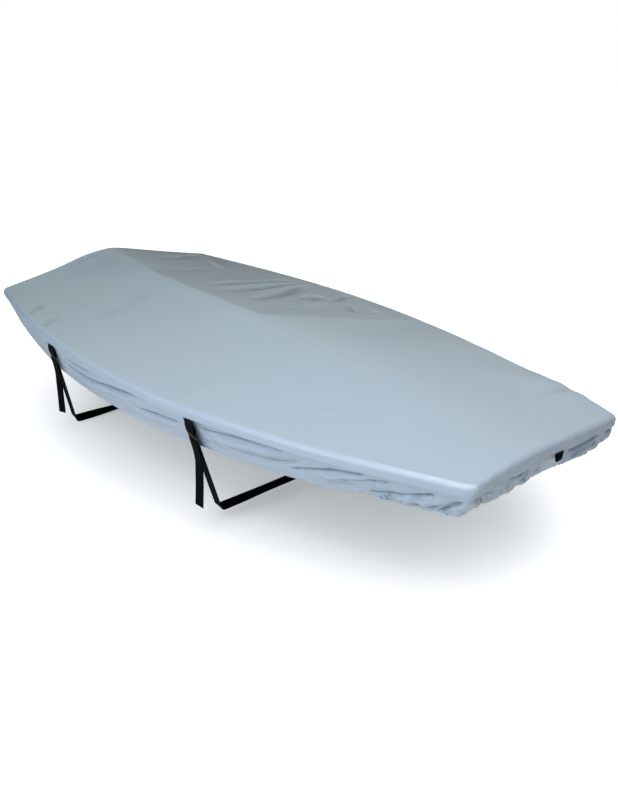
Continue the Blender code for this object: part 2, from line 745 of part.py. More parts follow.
def build_skirts(material, collection):
    """The four panels under the seam."""
    seams = tuple(strap.seam_x for strap in STRAPS)
    panels = (
        Panel("skirt_starboard", -1, 0, SIDE_ALONG, SIDE_HEM, STARBOARD_CREASES, SIDE_GATHER,
              tuple(x - 0.02 for x in seams)),
        Panel("skirt_bow", 0, 1, BOW_ALONG, BOW_HEM, BOW_CREASES, BOW_GATHER, (BOW_TAB_Y,)),
        Panel("skirt_port", 1, 0, PORT_ALONG, PORT_HEM, PORT_CREASES, SIDE_GATHER,
              tuple(x - 0.02 for x in seams)),
        Panel("skirt_stern", 0, -1, STERN_ALONG, STERN_HEM, STERN_CREASES, NO_GATHER),
    )
    for panel in panels:
        outward = Vector((panel.end, panel.side, 0.0))
        sheet(panel.name, panel.steps + 2 * CORNER_STEPS, SKIRT_ROWS,
              lambda number, row, panel=panel: panel_point(panel, number, row),
              lambda _, outward=outward: outward, CLOTH, -1.0, material, collection)


def build_straps(webbing, plastic, collection, cutters):
    """Tabs, buckles and straps."""
    for strap in STRAPS:
        hang = Hang(seam_spot(strap.seam_x, -1), chine_spot(strap, -1, 0.0), -1)
        ribbon(f"tab_{strap.name}", [hang.at(turn) for turn in TAB_PROFILE], TAB_WIDTH,
               lambda _, hang=hang: hang.across, webbing, collection, sewn=0)
        buckle(f"buckle_{strap.name}", hang, plastic, collection, cutters)
        route, face = strap_route(strap, hang)
        ribbon(f"strap_{strap.name}", route, STRAP_WIDTH, face, webbing, collection, sewn=-1)


def build_bow_tab(webbing, collection):
    """A short loop of webbing under the bow's seam."""
    panel = Panel("", 0, 1, 1, BOW_HEM, (), NO_GATHER)
    part = BOW_TAB_Y / core_half(CORE_END)
    rim = panel.base(part, 0.0)
    start = rim + Vector((ROLL_START, 0.0))
    height, drop = edge_height_at(start.x, start.y)
    top_x = rim.x + EDGE_WIDTH - CLOTH - GAP + SKIRT_CLEARANCE
    seam_height = height - drop - TAB_FROM_SEAM
    route = [place(top_x + turn.off, BOW_TAB_Y, seam_height - turn.down) for turn in BOW_TAB_PROFILE]
    ribbon("bow_tab", route, BOW_TAB_WIDTH, lambda _: Vector((0.0, 1.0, 0.0)), webbing, collection)


def main():
    """Build the cover."""
    clear_scene()
    collection = bpy.data.collections.new("boat_cover")
    cutters = bpy.data.collections.new("cutters")
    bpy.context.scene.collection.children.link(collection)
    bpy.context.scene.collection.children.link(cutters)
    cloth = make_material("coated_cloth", (0.47, 0.56, 0.63), 0.45)
    webbing = make_material("webbing", (0.010, 0.011, 0.012), 0.70)
    plastic = make_material("buckle_plastic", (0.012, 0.013, 0.014), 0.40)
    build_top(cloth, collection)
    build_skirts(cloth, collection)
    build_straps(webbing, plastic, collection, cutters)
    build_bow_tab(webbing, collection)


main()
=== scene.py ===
"""Looks for a fitted top cover on a small pram-bowed sailing dinghy.

The cloth pieces, webbing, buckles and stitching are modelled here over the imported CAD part, in
metres, with +X to the bow, +Y to port and +Z up. Heights inside the cloth classes are taken from
the rail amidships, and HULL_TO_PART brings them to the part's own origin, which is the underside
of the top panel at the middle of the boat.
"""

from __future__ import annotations

import json
import logging
import math
from dataclasses import dataclass
from enum import Enum
from typing import Any, Callable, Sequence

import bpy
import numpy as np
from mathutils import Matrix, Vector

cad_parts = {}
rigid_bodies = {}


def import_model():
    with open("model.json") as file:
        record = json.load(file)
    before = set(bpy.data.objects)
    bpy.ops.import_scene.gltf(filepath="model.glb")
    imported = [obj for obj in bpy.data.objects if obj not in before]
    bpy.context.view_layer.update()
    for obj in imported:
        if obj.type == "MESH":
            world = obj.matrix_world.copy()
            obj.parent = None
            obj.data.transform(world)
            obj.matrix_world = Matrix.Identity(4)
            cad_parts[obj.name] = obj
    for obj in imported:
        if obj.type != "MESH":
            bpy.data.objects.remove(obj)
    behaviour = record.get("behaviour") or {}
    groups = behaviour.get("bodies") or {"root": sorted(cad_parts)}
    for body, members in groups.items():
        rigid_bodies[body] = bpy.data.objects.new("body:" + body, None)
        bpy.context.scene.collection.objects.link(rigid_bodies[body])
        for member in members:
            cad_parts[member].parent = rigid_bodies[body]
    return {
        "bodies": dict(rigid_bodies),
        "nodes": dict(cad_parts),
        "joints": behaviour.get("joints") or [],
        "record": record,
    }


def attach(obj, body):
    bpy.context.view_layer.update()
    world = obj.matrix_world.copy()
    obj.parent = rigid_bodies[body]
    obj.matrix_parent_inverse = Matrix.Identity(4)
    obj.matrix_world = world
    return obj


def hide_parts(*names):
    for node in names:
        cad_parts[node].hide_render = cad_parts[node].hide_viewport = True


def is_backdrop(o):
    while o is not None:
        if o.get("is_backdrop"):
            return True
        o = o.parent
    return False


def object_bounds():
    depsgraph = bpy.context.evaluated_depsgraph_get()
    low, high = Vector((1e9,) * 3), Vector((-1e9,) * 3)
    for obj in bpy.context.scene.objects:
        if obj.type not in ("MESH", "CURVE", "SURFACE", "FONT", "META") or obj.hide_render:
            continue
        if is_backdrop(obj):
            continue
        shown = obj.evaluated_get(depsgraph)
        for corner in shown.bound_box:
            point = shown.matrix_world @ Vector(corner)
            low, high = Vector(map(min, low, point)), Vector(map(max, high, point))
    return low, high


LOG = logging.getLogger("boat_cover")
ROOT = "root"
# The attribute named below sets where shade is painted into the cloth's folds.
FOLD_SHADE_MASK = "hollow"  # mesh attribute: how far a point lies in a fold
SEAM_GAP = 0.0005  # between the top's cloth and the skirt's inside it, in metres
WAVE_SCALE = 0.05  # scale of a wave texture whose waves are 2 pi metres long
WHITE = (1.0, 1.0, 1.0, 1.0)
FORWARD = Vector((1.0, 0.0, 0.0))
TO_PORT = Vector((0.0, 1.0, 0.0))
UP = Vector((0.0, 0.0, 1.0))
NEAR = 1e-6
TINY = 1e-12

Array = np.ndarray
Piece = bpy.types.Object
Material = bpy.types.Material
Socket = bpy.types.NodeSocket
Pair = tuple[float, float]
Colour = tuple[float, float, float]
Place = tuple[float, float, float]
Noise = tuple[float, float, float]
Route = tuple[Pair, ...]
Table = tuple[tuple[float, ...], ...]


class Side(Enum):
    """The side or end of the boat that a skirt panel hangs on."""

    STARBOARD = (0, -1)
    PORT = (0, 1)
    BOW = (1, 0)
    STERN = (-1, 0)

    @property
    def outward(self) -> Vector:
        """Level direction away from the boat."""
        return Vector((self.value[0], self.value[1], 0.0))

    @property
    def lengthwise(self) -> bool:
        """Whether the panel runs along the boat."""
        return self.value[1] != 0


# --- Curves, folds and ripples ------------------------------------------------------------------


def smooth_curve(places: Sequence[float], values: Sequence[float], at: Array | float) -> Array:
    """Read a smooth curve drawn through a table, level beyond its ends.

    Args:
        places: Rising positions of the table's rows.
        values: Value at each position.
        at: Where the curve is read.

    Returns:
        The curve's values, in the shape of at.
    """
    spots = np.asarray(places, float)
    known = np.asarray(values, float)
    slopes = np.zeros(len(spots))
    slopes[1:-1] = (known[2:] - known[:-2]) / (spots[2:] - spots[:-2])
    slopes[0] = (known[1] - known[0]) / (spots[1] - spots[0])
    slopes[-1] = (known[-1] - known[-2]) / (spots[-1] - spots[-2])
    place = np.clip(np.asarray(at, float), spots[0], spots[-1])
    row = np.minimum(np.searchsorted(spots, place, side="right") - 1, len(spots) - 2)
    span = spots[row + 1] - spots[row]
    part = (place - spots[row]) / span
    start = known[row] * (1 + 2 * part) * (1 - part) ** 2 + slopes[row] * span * part * (1 - part) ** 2
    end = known[row + 1] * part**2 * (3 - 2 * part) - slopes[row + 1] * span * part**2 * (1 - part)
    return start + end


def read_table(table: Table, at: Array | float, column: int = 1) -> Array:
    """Read one column of a table as a smooth curve over its first column."""
    return smooth_curve([row[0] for row in table], [row[column] for row in table], at)


def ease(value: Array | float) -> Array:
    """Smooth step from 0 to 1."""
    part = np.clip(value, 0.0, 1.0)
    return part * part * (3 - 2 * part)


@dataclass(frozen=True)
class Crease:
    """A fold laid over a surface: its rise (a trough is below nought), width and route.

    steep narrows the side on the right of the route, which makes a fold lean over. fade is the
    share of the route over which each end dies away. A power of 2 is a round fold, 1 a sharp one.
    The last three make the rise uneven along the route: by how much, how fast and from where.
    """

    rise: float
    width: float
    route: Route
    steep: float = 1.0
    fade: float = 0.16
    power: float = 2.0
    uneven: float = 0.18
    uneven_rate: float = 11.0
    uneven_shift: float = 40.0

    def height(self, x: Array, y: Array) -> Array:
        """Lift of the cloth at each point."""
        nearest = np.full(np.shape(x), np.inf)
        left = np.zeros(np.shape(x))
        done = np.zeros(np.shape(x))
        travelled = 0.0
        for (x0, y0), (x1, y1) in zip(self.route[:-1], self.route[1:]):
            run = math.hypot(x1 - x0, y1 - y0)
            dx, dy = (x1 - x0) / run, (y1 - y0) / run
            along = np.clip((x - x0) * dx + (y - y0) * dy, 0.0, run)
            off = np.hypot(x - x0 - along * dx, y - y0 - along * dy)
            closer = off < nearest
            nearest = np.where(closer, off, nearest)
            left = np.where(closer, dx * (y - y0) - dy * (x - x0), left)
            done = np.where(closer, travelled + along, done)
            travelled += run
        part = done / travelled
        taper = ease(part / self.fade) * ease((1 - part) / self.fade) if self.fade else 1.0
        uneven = 1.0 + self.uneven * np.sin(self.uneven_rate * part + self.uneven_shift * self.route[0][0])
        width = np.where(left > 0, self.width, self.width * self.steep)
        return self.rise * taper * uneven * np.exp(-((nearest / width) ** self.power))


def creased(x: Array, y: Array, creases: Sequence[Crease]) -> Array:
    """Sum of the creases at each point."""
    total = np.zeros(np.shape(x))
    for crease in creases:
        total = total + crease.height(x, y)
    return total


@dataclass(frozen=True)
class Ripple:
    """Uneven waves along one direction, the sum of a few that don't repeat together.

    They swell and fall by a share over a number of pitches. Pinched waves have round tops and sharp
    valleys, as cloth has that elastic draws in; the pinch is their gain, rounding and mean height.
    """

    pitch: float
    height: float
    seed: int
    spread: float = 0.45
    waves: int = 6
    pinched: bool = False
    swell: float = 0.3
    swell_pitches: float = 7.3
    pinch: tuple[float, float, float] = (1.6, 0.08, 0.9)
    more_over: int = 3

    def _rate(self, draw: np.random.Generator) -> float:
        """Angle of one wave for each metre, drawn about the pitch."""
        return 2 * math.pi / (self.pitch * draw.uniform(1 - self.spread, 1 + self.spread))

    def along(self, place: Array) -> Array:
        """Height of the waves at places along their line."""
        draw = np.random.default_rng(self.seed)
        total = np.zeros(np.shape(place))
        for _ in range(self.waves):
            rate = self._rate(draw)
            total = total + np.sin(rate * place + draw.uniform(0, 2 * math.pi))
        slow = 2 * math.pi * place / (self.pitch * self.swell_pitches)
        swell = 1 - self.swell + self.swell * np.sin(slow + self.seed)
        total = total / math.sqrt(self.waves)
        if self.pinched:
            gain, rounding, mean = self.pinch
            total = gain * np.hypot(total, rounding) - mean
        return self.height * swell * total

    def over(self, x: Array, y: Array) -> Array:
        """Height of waves that run every way over a surface."""
        draw = np.random.default_rng(self.seed)
        total = np.zeros(np.shape(x))
        waves = self.waves + self.more_over
        for _ in range(waves):
            rate, turn = self._rate(draw), draw.uniform(0, math.pi)
            total = total + np.sin(
                rate * (x * math.cos(turn) + y * math.sin(turn)) + draw.uniform(0, 2 * math.pi)
            )
        return self.height * total / math.sqrt(waves)


# --- The boat's rail ----------------------------------------------------------------------------


@dataclass(frozen=True)
class Rail:
    """The line that the outside of the cover follows round the boat."""

    breadths: Table = ((-1.175, 0.501), (-0.588, 0.580), (0.000, 0.584), (0.588, 0.486), (1.175, 0.306))
    half_length: float = 1.182
    edge_width: float = 0.028
    sheer_slope: float = 0.025
    sheer_curve: float = 0.012

    @property
    def core_end(self) -> float:
        """Half-length of the flat of the top, inside its rolled edge."""
        return self.half_length - self.edge_width

    def _breadth(self) -> Array:
        """Coefficients of the half-breadth along the boat."""
        rows = np.asarray(self.breadths)
        return np.polyfit(rows[:, 0], rows[:, 1], len(rows) - 1)

    def core_half(self, x: Array | float) -> Array:
        """Half-breadth of the flat of the top."""
        return np.polyval(self._breadth(), x) - self.edge_width

    def height(self, x: Array | float) -> Array:
        """Height of the rail line, which rises to the bow."""
        part = np.asarray(x, float) / self.half_length
        return self.sheer_slope * part + self.sheer_curve * part * part

    def heading(
        self, x: Array | float, side: Array | float, end: Array | float, part: Array | float
    ) -> Array:
        """Outward direction in plan, turned from the side of the boat (0) to its end (1).

        Args:
            x: Place along the boat.
            side: -1 to starboard and 1 to port.
            end: 1 at the bow and -1 at the stern.
            part: How far the direction is turned.

        Returns:
            Unit vectors in plan, as an array whose last axis is (x, y).
        """
        slope = np.polyval(np.polyder(self._breadth()), x)
        from_side = np.arctan2(side * np.ones(np.shape(slope)), -slope)
        to_end = np.where(np.asarray(end) > 0, 0.0, np.pi * np.sign(side))
        angle = from_side + (to_end - from_side) * part
        return np.stack([np.cos(angle), np.sin(angle)], axis=-1)


# --- The tented top -----------------------------------------------------------------------------


@dataclass(frozen=True)
class TentedTop:
    """Heights of the top panel: an aft tent with a ridge, and a forward sheet that meets it."""

    rail: Rail = Rail()
    ridge: Table = (
        (-1.16, 0.105, 0.055),
        (-0.98, 0.093, 0.020),
        (-0.80, 0.080, 0.010),
        (-0.40, 0.075, 0.010),
        (0.00, 0.075, 0.015),
        (0.40, 0.100, 0.020),
        (1.16, 0.160, 0.020),
    )
    forward: Table = (
        (-1.16, 0.180, 0.020),
        (-0.40, 0.105, 0.020),
        (0.00, 0.075, 0.025),
        (0.14, 0.066, 0.070),
        (0.35, 0.061, 0.140),
        (0.70, 0.057, 0.180),
        (1.16, 0.058, 0.200),
    )
    bow_edge: Table = (
        (-1.00, 0.010), (-0.72, 0.018), (-0.40, 0.021), (0.00, 0.016), (0.50, 0.006), (1.00, -0.003),
    )
    bow_edge_from: float = 0.72
    bow_edge_reach: float = 0.06
    sheet_lift: float = 0.026
    sheet_lands: float = 0.28
    aft_slope: float = 0.1
    blend_port: float = 0.003
    blend_starboard: float = 0.022
    blend_reach: float = 0.18
    aft_sag: float = 0.004
    forward_sag: float = 0.003
    edge_rise: float = 0.007
    roll_start: float = 0.012
    roll_radius: float = 0.016
    edge_height: float = 0.030
    bow_edge_height: float = 0.029
    cloth: float = 0.002
    creases: tuple[Crease, ...] = (
        Crease(-0.0150, 0.034, ((-0.39, 0.54), (-0.29, 0.31), (-0.23, 0.10)), 0.4, 0.34),
        Crease(0.0040, 0.016, ((-0.32, 0.16), (-0.36, 0.34), (-0.41, 0.54)), 0.7, 0.34),
        Crease(-0.0095, 0.028, ((-0.43, 0.53), (-0.40, 0.26), (-0.39, 0.06)), 0.4, 0.34),
        Crease(0.0030, 0.016, ((-0.45, 0.10), (-0.46, 0.30), (-0.46, 0.52)), fade=0.34),
        Crease(-0.0075, 0.028, ((-0.48, 0.54), (-0.51, 0.30), (-0.51, 0.08)), 0.4, 0.34),
        Crease(-0.0085, 0.046, ((-0.12, 0.36), (-0.21, 0.43)), 0.6, 0.4),
        Crease(0.0034, 0.030, ((-0.20, 0.54), (-0.06, 0.26)), 0.6, 0.34),
        Crease(-0.0066, 0.018, ((-0.16, 0.55), (-0.09, 0.42)), 0.6, 0.34),
        Crease(-0.0043, 0.016, ((0.08, 0.37), (-0.04, 0.46)), 0.6, 0.34),
        Crease(0.0035, 0.020, ((0.02, 0.54), (0.12, 0.45)), fade=0.34),
        Crease(-0.0042, 0.020, ((-0.80, 0.30), (-0.78, 0.10)), 0.7, 0.34),
        Crease(-0.0069, 0.038, ((-1.13, 0.46), (-1.06, 0.33), (-0.98, 0.17)), 0.6, 0.34),
        Crease(0.0049, 0.030, ((-1.08, 0.46), (-0.92, 0.40), (-0.76, 0.36)), 0.7, 0.34),
        Crease(-0.0020, 0.026, ((-0.50, -0.40), (-0.51, -0.29), (-0.56, -0.12))),
        Crease(-0.0032, 0.020, ((-0.76, -0.54), (-0.82, -0.46)), 0.6),
        Crease(-0.0027, 0.020, ((-0.58, -0.56), (-0.64, -0.48)), 0.6),
        Crease(0.0009, 0.016, ((0.35, 0.17), (0.37, 0.31)), 0.7, 0.34),
        Crease(-0.0011, 0.014, ((0.68, -0.24), (0.64, -0.30)), fade=0.34),
        Crease(0.0110, 0.090, ((0.92, 0.36), (1.08, 0.32)), fade=0.0),
        Crease(0.0080, 0.085, ((-1.16, -0.13), (-1.08, -0.12)), fade=0.0),
        # finer wrinkles between the main folds
        Crease(-0.0033, 0.009, ((-0.35, 0.55), (-0.31, 0.44), (-0.27, 0.30)), 0.5, 0.34),
        Crease(-0.0027, 0.008, ((-0.36, 0.30), (-0.34, 0.14)), 0.5, 0.34),
        Crease(-0.0024, 0.008, ((-0.44, 0.40), (-0.43, 0.20)), 0.5, 0.34),
        Crease(0.0024, 0.008, ((-0.55, 0.16), (-0.56, 0.36)), 0.6, 0.34),
        Crease(-0.0021, 0.009, ((-0.63, 0.26), (-0.62, 0.10)), 0.6, 0.34),
        Crease(0.0021, 0.010, ((-0.70, 0.16), (-0.71, 0.34)), 0.6, 0.34),
        Crease(-0.0021, 0.009, ((-0.93, 0.30), (-0.90, 0.14)), 0.6, 0.34),
        Crease(-0.0024, 0.010, ((-0.20, 0.40), (-0.16, 0.24)), 0.6, 0.34),
        Crease(0.0018, 0.010, ((-0.08, 0.14), (-0.12, 0.28)), 0.6, 0.34),
        Crease(-0.0015, 0.012, ((0.20, 0.46), (0.14, 0.34)), fade=0.34),
    )

    def _tent(self, y: Array, half: Array, rounding: Array) -> Array:
        """0 on the centre line, 1 at the rail, straight between but for a rounded ridge."""
        reach = np.hypot(half, rounding) - rounding
        return np.minimum((np.hypot(y, rounding) - rounding) / reach, 1.0)

    def height(self, x: Array | float, y: Array | float) -> Array:
        """Height of the outer face inside the rolled edge, with the creases that it carries."""
        limit = self.rail.core_end + self.roll_start
        x = np.clip(np.asarray(x, float), -limit, limit)
        y = np.asarray(y, float)
        half = self.rail.core_half(x) + self.roll_start
        part = np.minimum(np.abs(y) / half, 1.0)
        edge = self.rail.height(x) + self.edge_rise
        top = self.rail.height(x) + read_table(self.ridge, x)
        aft = edge + (top - edge) * (1 - self._tent(y, half, read_table(self.ridge, x, 2)))
        aft += self.aft_slope * np.maximum(x - self.sheet_lands, 0.0) - self.aft_sag * np.sin(np.pi * part)
        lift = self.sheet_lift * np.maximum(1 - x / self.sheet_lands, 0.0)
        centre = read_table(self.forward, x)
        tent = self._tent(y, half, read_table(self.forward, x, 2))
        forward = edge + lift + (centre - edge - lift) * (1 - tent) - self.forward_sag * np.sin(np.pi * part)
        bow_edge = edge + read_table(self.bow_edge, y / half)
        forward += (bow_edge - forward) * ease((x - self.bow_edge_from) / (limit - self.bow_edge_from))
        blend = self.blend_port + (self.blend_starboard - self.blend_port) * ease(-y / self.blend_reach)
        return 0.5 * (aft + forward - np.hypot(aft - forward, blend)) + creased(x, y, self.creases)

    def drop(self, x: Array) -> Array:
        """Height of the rolled edge from its top down to the seam."""
        at_bow = ease((x - self.rail.core_end + self.bow_edge_reach) / self.bow_edge_reach)
        return self.edge_height + (self.bow_edge_height - self.edge_height) * at_bow

    def origin_height(self) -> float:
        """Height of the part's origin over the rail amidships."""
        return float(self.height(0.0, 0.0)) - self.cloth


RAIL = Rail()
TOP = TentedTop()
HULL_TO_PART = -TOP.origin_height()


def in_part(x: Array, y: Array, height: Array) -> Array:
    """Points of the part from plan places and heights over the rail amidships."""
    x, y, height = np.broadcast_arrays(x, y, height)
    return np.stack([x, y, height + HULL_TO_PART], axis=-1)


# --- Working in Blender --------------------------------------------------------------------------


def deselect_all() -> None:
    """Leave object mode with nothing selected."""
    if bpy.context.object is not None and bpy.context.object.mode != "OBJECT":
        bpy.ops.object.mode_set(mode="OBJECT")
    bpy.ops.object.select_all(action="DESELECT")


def make_active(piece: Piece) -> None:
    """Select one object alone."""
    deselect_all()
    piece.select_set(True)
    bpy.context.view_layer.objects.active = piece


def select_elements(piece: Piece, kind: str, chosen: Callable[[Any], bool]) -> None:
    """Enter edit mode with only the chosen vertices (VERT) or faces (FACE) selected."""
    make_active(piece)
    bpy.ops.object.mode_set(mode="EDIT")
    bpy.ops.mesh.select_mode(type=kind)
    bpy.ops.mesh.select_all(action="DESELECT")
    bpy.ops.object.mode_set(mode="OBJECT")
    for element in piece.data.vertices if kind == "VERT" else piece.data.polygons:
        element.select = chosen(element)
    bpy.ops.object.mode_set(mode="EDIT")


def apply_modifier(piece: Piece, kind: str, **settings: Any) -> None:
    """Add a modifier with its settings and apply it."""
    make_active(piece)
    modifier = piece.modifiers.new(kind.lower(), kind)
    for name, value in settings.items():
        setattr(modifier, name, value)
    bpy.ops.object.modifier_apply(modifier=modifier.name)


def edit_all(piece: Piece, change: Callable[..., Any], **settings: Any) -> None:
    """Run a mesh operator on the whole of a piece."""
    make_active(piece)
    bpy.ops.object.mode_set(mode="EDIT")
    bpy.ops.mesh.select_all(action="SELECT")
    change(**settings)
    bpy.ops.object.mode_set(mode="OBJECT")


def turn_outward(piece: Piece, outward: Vector) -> None:
    """Flip an open sheet whose faces look away from the outward direction."""
    normals = np.empty(len(piece.data.polygons) * 3)
    piece.data.polygons.foreach_get("normal", normals)
    if float(np.dot(normals.reshape(-1, 3).sum(axis=0), np.array(outward))) < 0:
        edit_all(piece, bpy.ops.mesh.flip_normals)


def shade(piece: Piece, degrees: float = 40.0) -> None:
    """Smooth shading, with edges kept past an angle."""
    make_active(piece)
    bpy.ops.object.shade_smooth_by_angle(angle=math.radians(degrees), keep_sharp_edges=False)


def hollows(
    points: Array, outward: Vector, reach: int, shallow: float = 0.0004, deep: float = 0.0036
) -> Array:
    """How far each point of a sheet lies in a fold, which sets how much shade is painted there.

    Args:
        points: Places of the sheet's rows and columns, as (columns, rows, 3).
        outward: The way the sheet faces.
        reach: Number of points on each side that a point is set against.
        shallow: Depth at which a hollow begins to count.
        deep: Depth at which it counts in full.

    Returns:
        A share from 0 to 1 for each point.
    """
    around = points
    for axis in (0, 1):
        margin = [(reach, reach) if number == axis else (0, 0) for number in range(3)]
        padded = np.pad(around, margin, mode="reflect", reflect_type="odd")
        size = points.shape[axis]
        shifts = [np.take(padded, np.arange(size) + shift, axis=axis) for shift in range(2 * reach + 1)]
        around = np.mean(shifts, axis=0)
    normal = np.cross(np.gradient(points, axis=0), np.gradient(points, axis=1))
    normal = normal / np.maximum(np.linalg.norm(normal, axis=2), TINY)[..., None]
    if float((normal @ np.array(outward)).sum()) < 0:
        normal = -normal
    depth = ((around - points) * normal).sum(axis=2)
    return np.clip((depth - shallow) / (deep - shallow), 0.0, 1.0)


def mapped_grid(name: str, points: Array, flat: Array, hollow: Array | None = None) -> Piece:
    """Lay a grid primitive on a surface.

    Args:
        name: Name of the piece.
        points: Places of its rows and columns, as (columns, rows, 3).
        flat: Places of the same points on the flat cloth, in metres, as (columns, rows, 2).
        hollow: How far each point lies in a fold, which the finish reads to paint shade into the folds.

    Returns:
        The open sheet, with the flat places as its UV map.
    """
    columns, rows = points.shape[0] - 1, points.shape[1] - 1
    deselect_all()
    bpy.ops.mesh.primitive_grid_add(x_subdivisions=columns, y_subdivisions=rows, size=1.0, calc_uvs=True)
    piece = bpy.context.object
    piece.name = piece.data.name = name
    mesh = piece.data
    places = np.empty(len(mesh.vertices) * 3)
    mesh.vertices.foreach_get("co", places)
    number = np.rint((places[0::3] + 0.5) * columns).astype(int)
    row = np.rint((places[1::3] + 0.5) * rows).astype(int)
    mesh.vertices.foreach_set("co", points[number, row].ravel())
    corners = np.empty(len(mesh.loops), dtype=np.int32)
    mesh.loops.foreach_get("vertex_index", corners)
    mesh.uv_layers.active.data.foreach_set("uv", flat[number, row][corners].ravel())
    if hollow is not None:
        shares = hollow[number, row].astype(np.float32)
        mesh.attributes.new(FOLD_SHADE_MASK, "FLOAT", "POINT").data.foreach_set("value", shares)
    mesh.update()
    return piece


def flat_places(points: Array) -> Array:
    """Distances along the middle row and down each column of a surface's points."""
    middle = points[:, points.shape[1] // 2]
    along = np.concatenate([[0.0], np.cumsum(np.linalg.norm(np.diff(middle, axis=0), axis=1))])
    steps = np.linalg.norm(np.diff(points, axis=1), axis=2)
    down = np.concatenate([np.zeros((points.shape[0], 1)), np.cumsum(steps, axis=1)], axis=1)
    return np.stack([np.broadcast_to(along[:, None], down.shape), down], axis=-1)


def cloth_panel(
    name: str, points: Array, flat: Array, outward: Vector, reach: int, thickness: float
) -> Piece:
    """Make a panel of cloth.

    Args:
        name: Name of the piece.
        points: Places of its outer face, as (columns, rows, 3).
        flat: Places of the same points on the flat cloth, in metres.
        outward: The way its outer face looks.
        reach: Number of points over which its folds are found.
        thickness: Thickness of the cloth, on the inner side of the points.

    Returns:
        The panel as a closed wall.
    """
    piece = mapped_grid(name, points, flat, hollows(points, outward, reach))
    turn_outward(piece, outward)
    apply_modifier(piece, "SOLIDIFY", thickness=thickness, offset=-1.0, use_even_offset=True)
    shade(piece)
    return piece


def finish_piece(piece: Piece, material: Material, slot: str, *replaced: str) -> None:
    """Dress a piece, tie it to the part and report it."""
    piece.data.materials.clear()
    piece.data.materials.append(material)
    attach(piece, ROOT)
    if replaced:
        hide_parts(*replaced)
    LOG.info(
        "%s: %d faces, replaces %s", piece.name, len(piece.data.polygons), ", ".join(replaced) or "nothing"
    )


# --- Finishes -----------------------------------------------------------------------------------


@dataclass(frozen=True)
class Nodes:
    """Short ways to add shader nodes to a tree. All but fill and add return the node's output."""

    tree: bpy.types.NodeTree

    def fill(self, node: bpy.types.Node, inputs: dict[str | int, Any]) -> None:
        """Link an output to each named or numbered input, or set the input's value."""
        for name, value in inputs.items():
            if isinstance(value, Socket):
                self.tree.links.new(value, node.inputs[name])
            else:
                node.inputs[name].default_value = value

    def add(self, kind: str, inputs: dict[str | int, Any] | None = None, **settings: Any) -> bpy.types.Node:
        """Add a node, set it up and fill its inputs."""
        made = self.tree.nodes.new(f"ShaderNode{kind}")
        for name, value in settings.items():
            setattr(made, name, value)
        self.fill(made, inputs or {})
        return made

    def place(self, space: str = "Object") -> Socket:
        """The place that is shaded, in one of the texture spaces."""
        return self.add("TexCoord").outputs[space]

    def seen(self) -> Socket:
        """1 for what the camera sees itself and 0 for light on its way."""
        return self.add("LightPath").outputs["Is Camera Ray"]

    def bands(self, place: Socket, scale: float, way: str, wander: float = 0.0) -> Socket:
        """Soft bands across one direction."""
        inputs = {"Vector": place, "Scale": scale, "Distortion": wander}
        return self.add(
            "TexWave", inputs, wave_type="BANDS", bands_direction=way, wave_profile="SIN"
        ).outputs["Fac"]

    def noise(self, place: Socket, scale: float, detail: float, roughness: float) -> Socket:
        """Cloudy noise."""
        inputs = {"Vector": place, "Scale": scale, "Detail": detail, "Roughness": roughness}
        return self.add("TexNoise", inputs).outputs["Fac"]

    def mix(self, share: Socket, first: Socket | Colour, second: Colour) -> Socket:
        """A colour between two."""
        start = first if isinstance(first, Socket) else (*first, 1.0)
        return self.add("MixRGB", {"Fac": share, "Color1": start, "Color2": (*second, 1.0)}).outputs["Color"]

    def combine(self, operation: str, first: Socket, second: Socket | float) -> Socket:
        """One sum on two numbers."""
        return self.add("Math", {0: first, 1: second}, operation=operation).outputs["Value"]

    def spread(self, share: Socket, low: float, high: float) -> Socket:
        """A share from 0 to 1 laid out between two numbers."""
        return self.add("MapRange", {"Value": share, "To Min": low, "To Max": high}).outputs["Result"]

    def bump(self, height: Socket, relief: Pair, **more: Socket) -> Socket:
        """A normal that leans with a height; relief is its strength and its distance in metres."""
        strength, distance = relief
        inputs = {"Height": height, "Strength": strength, "Distance": distance, **more}
        return self.add("Bump", inputs).outputs["Normal"]


@dataclass(frozen=True)
class Finish:
    """What the finishes share. Their noises are given as scale, detail and roughness."""

    name: str

    def start(self) -> tuple[Material, Nodes, bpy.types.Node]:
        """Make an empty material.

        Returns:
            The material, its nodes and its surface shader.
        """
        material = bpy.data.materials.new(self.name)
        material.use_nodes = True
        return material, Nodes(material.node_tree), material.node_tree.nodes["Principled BSDF"]


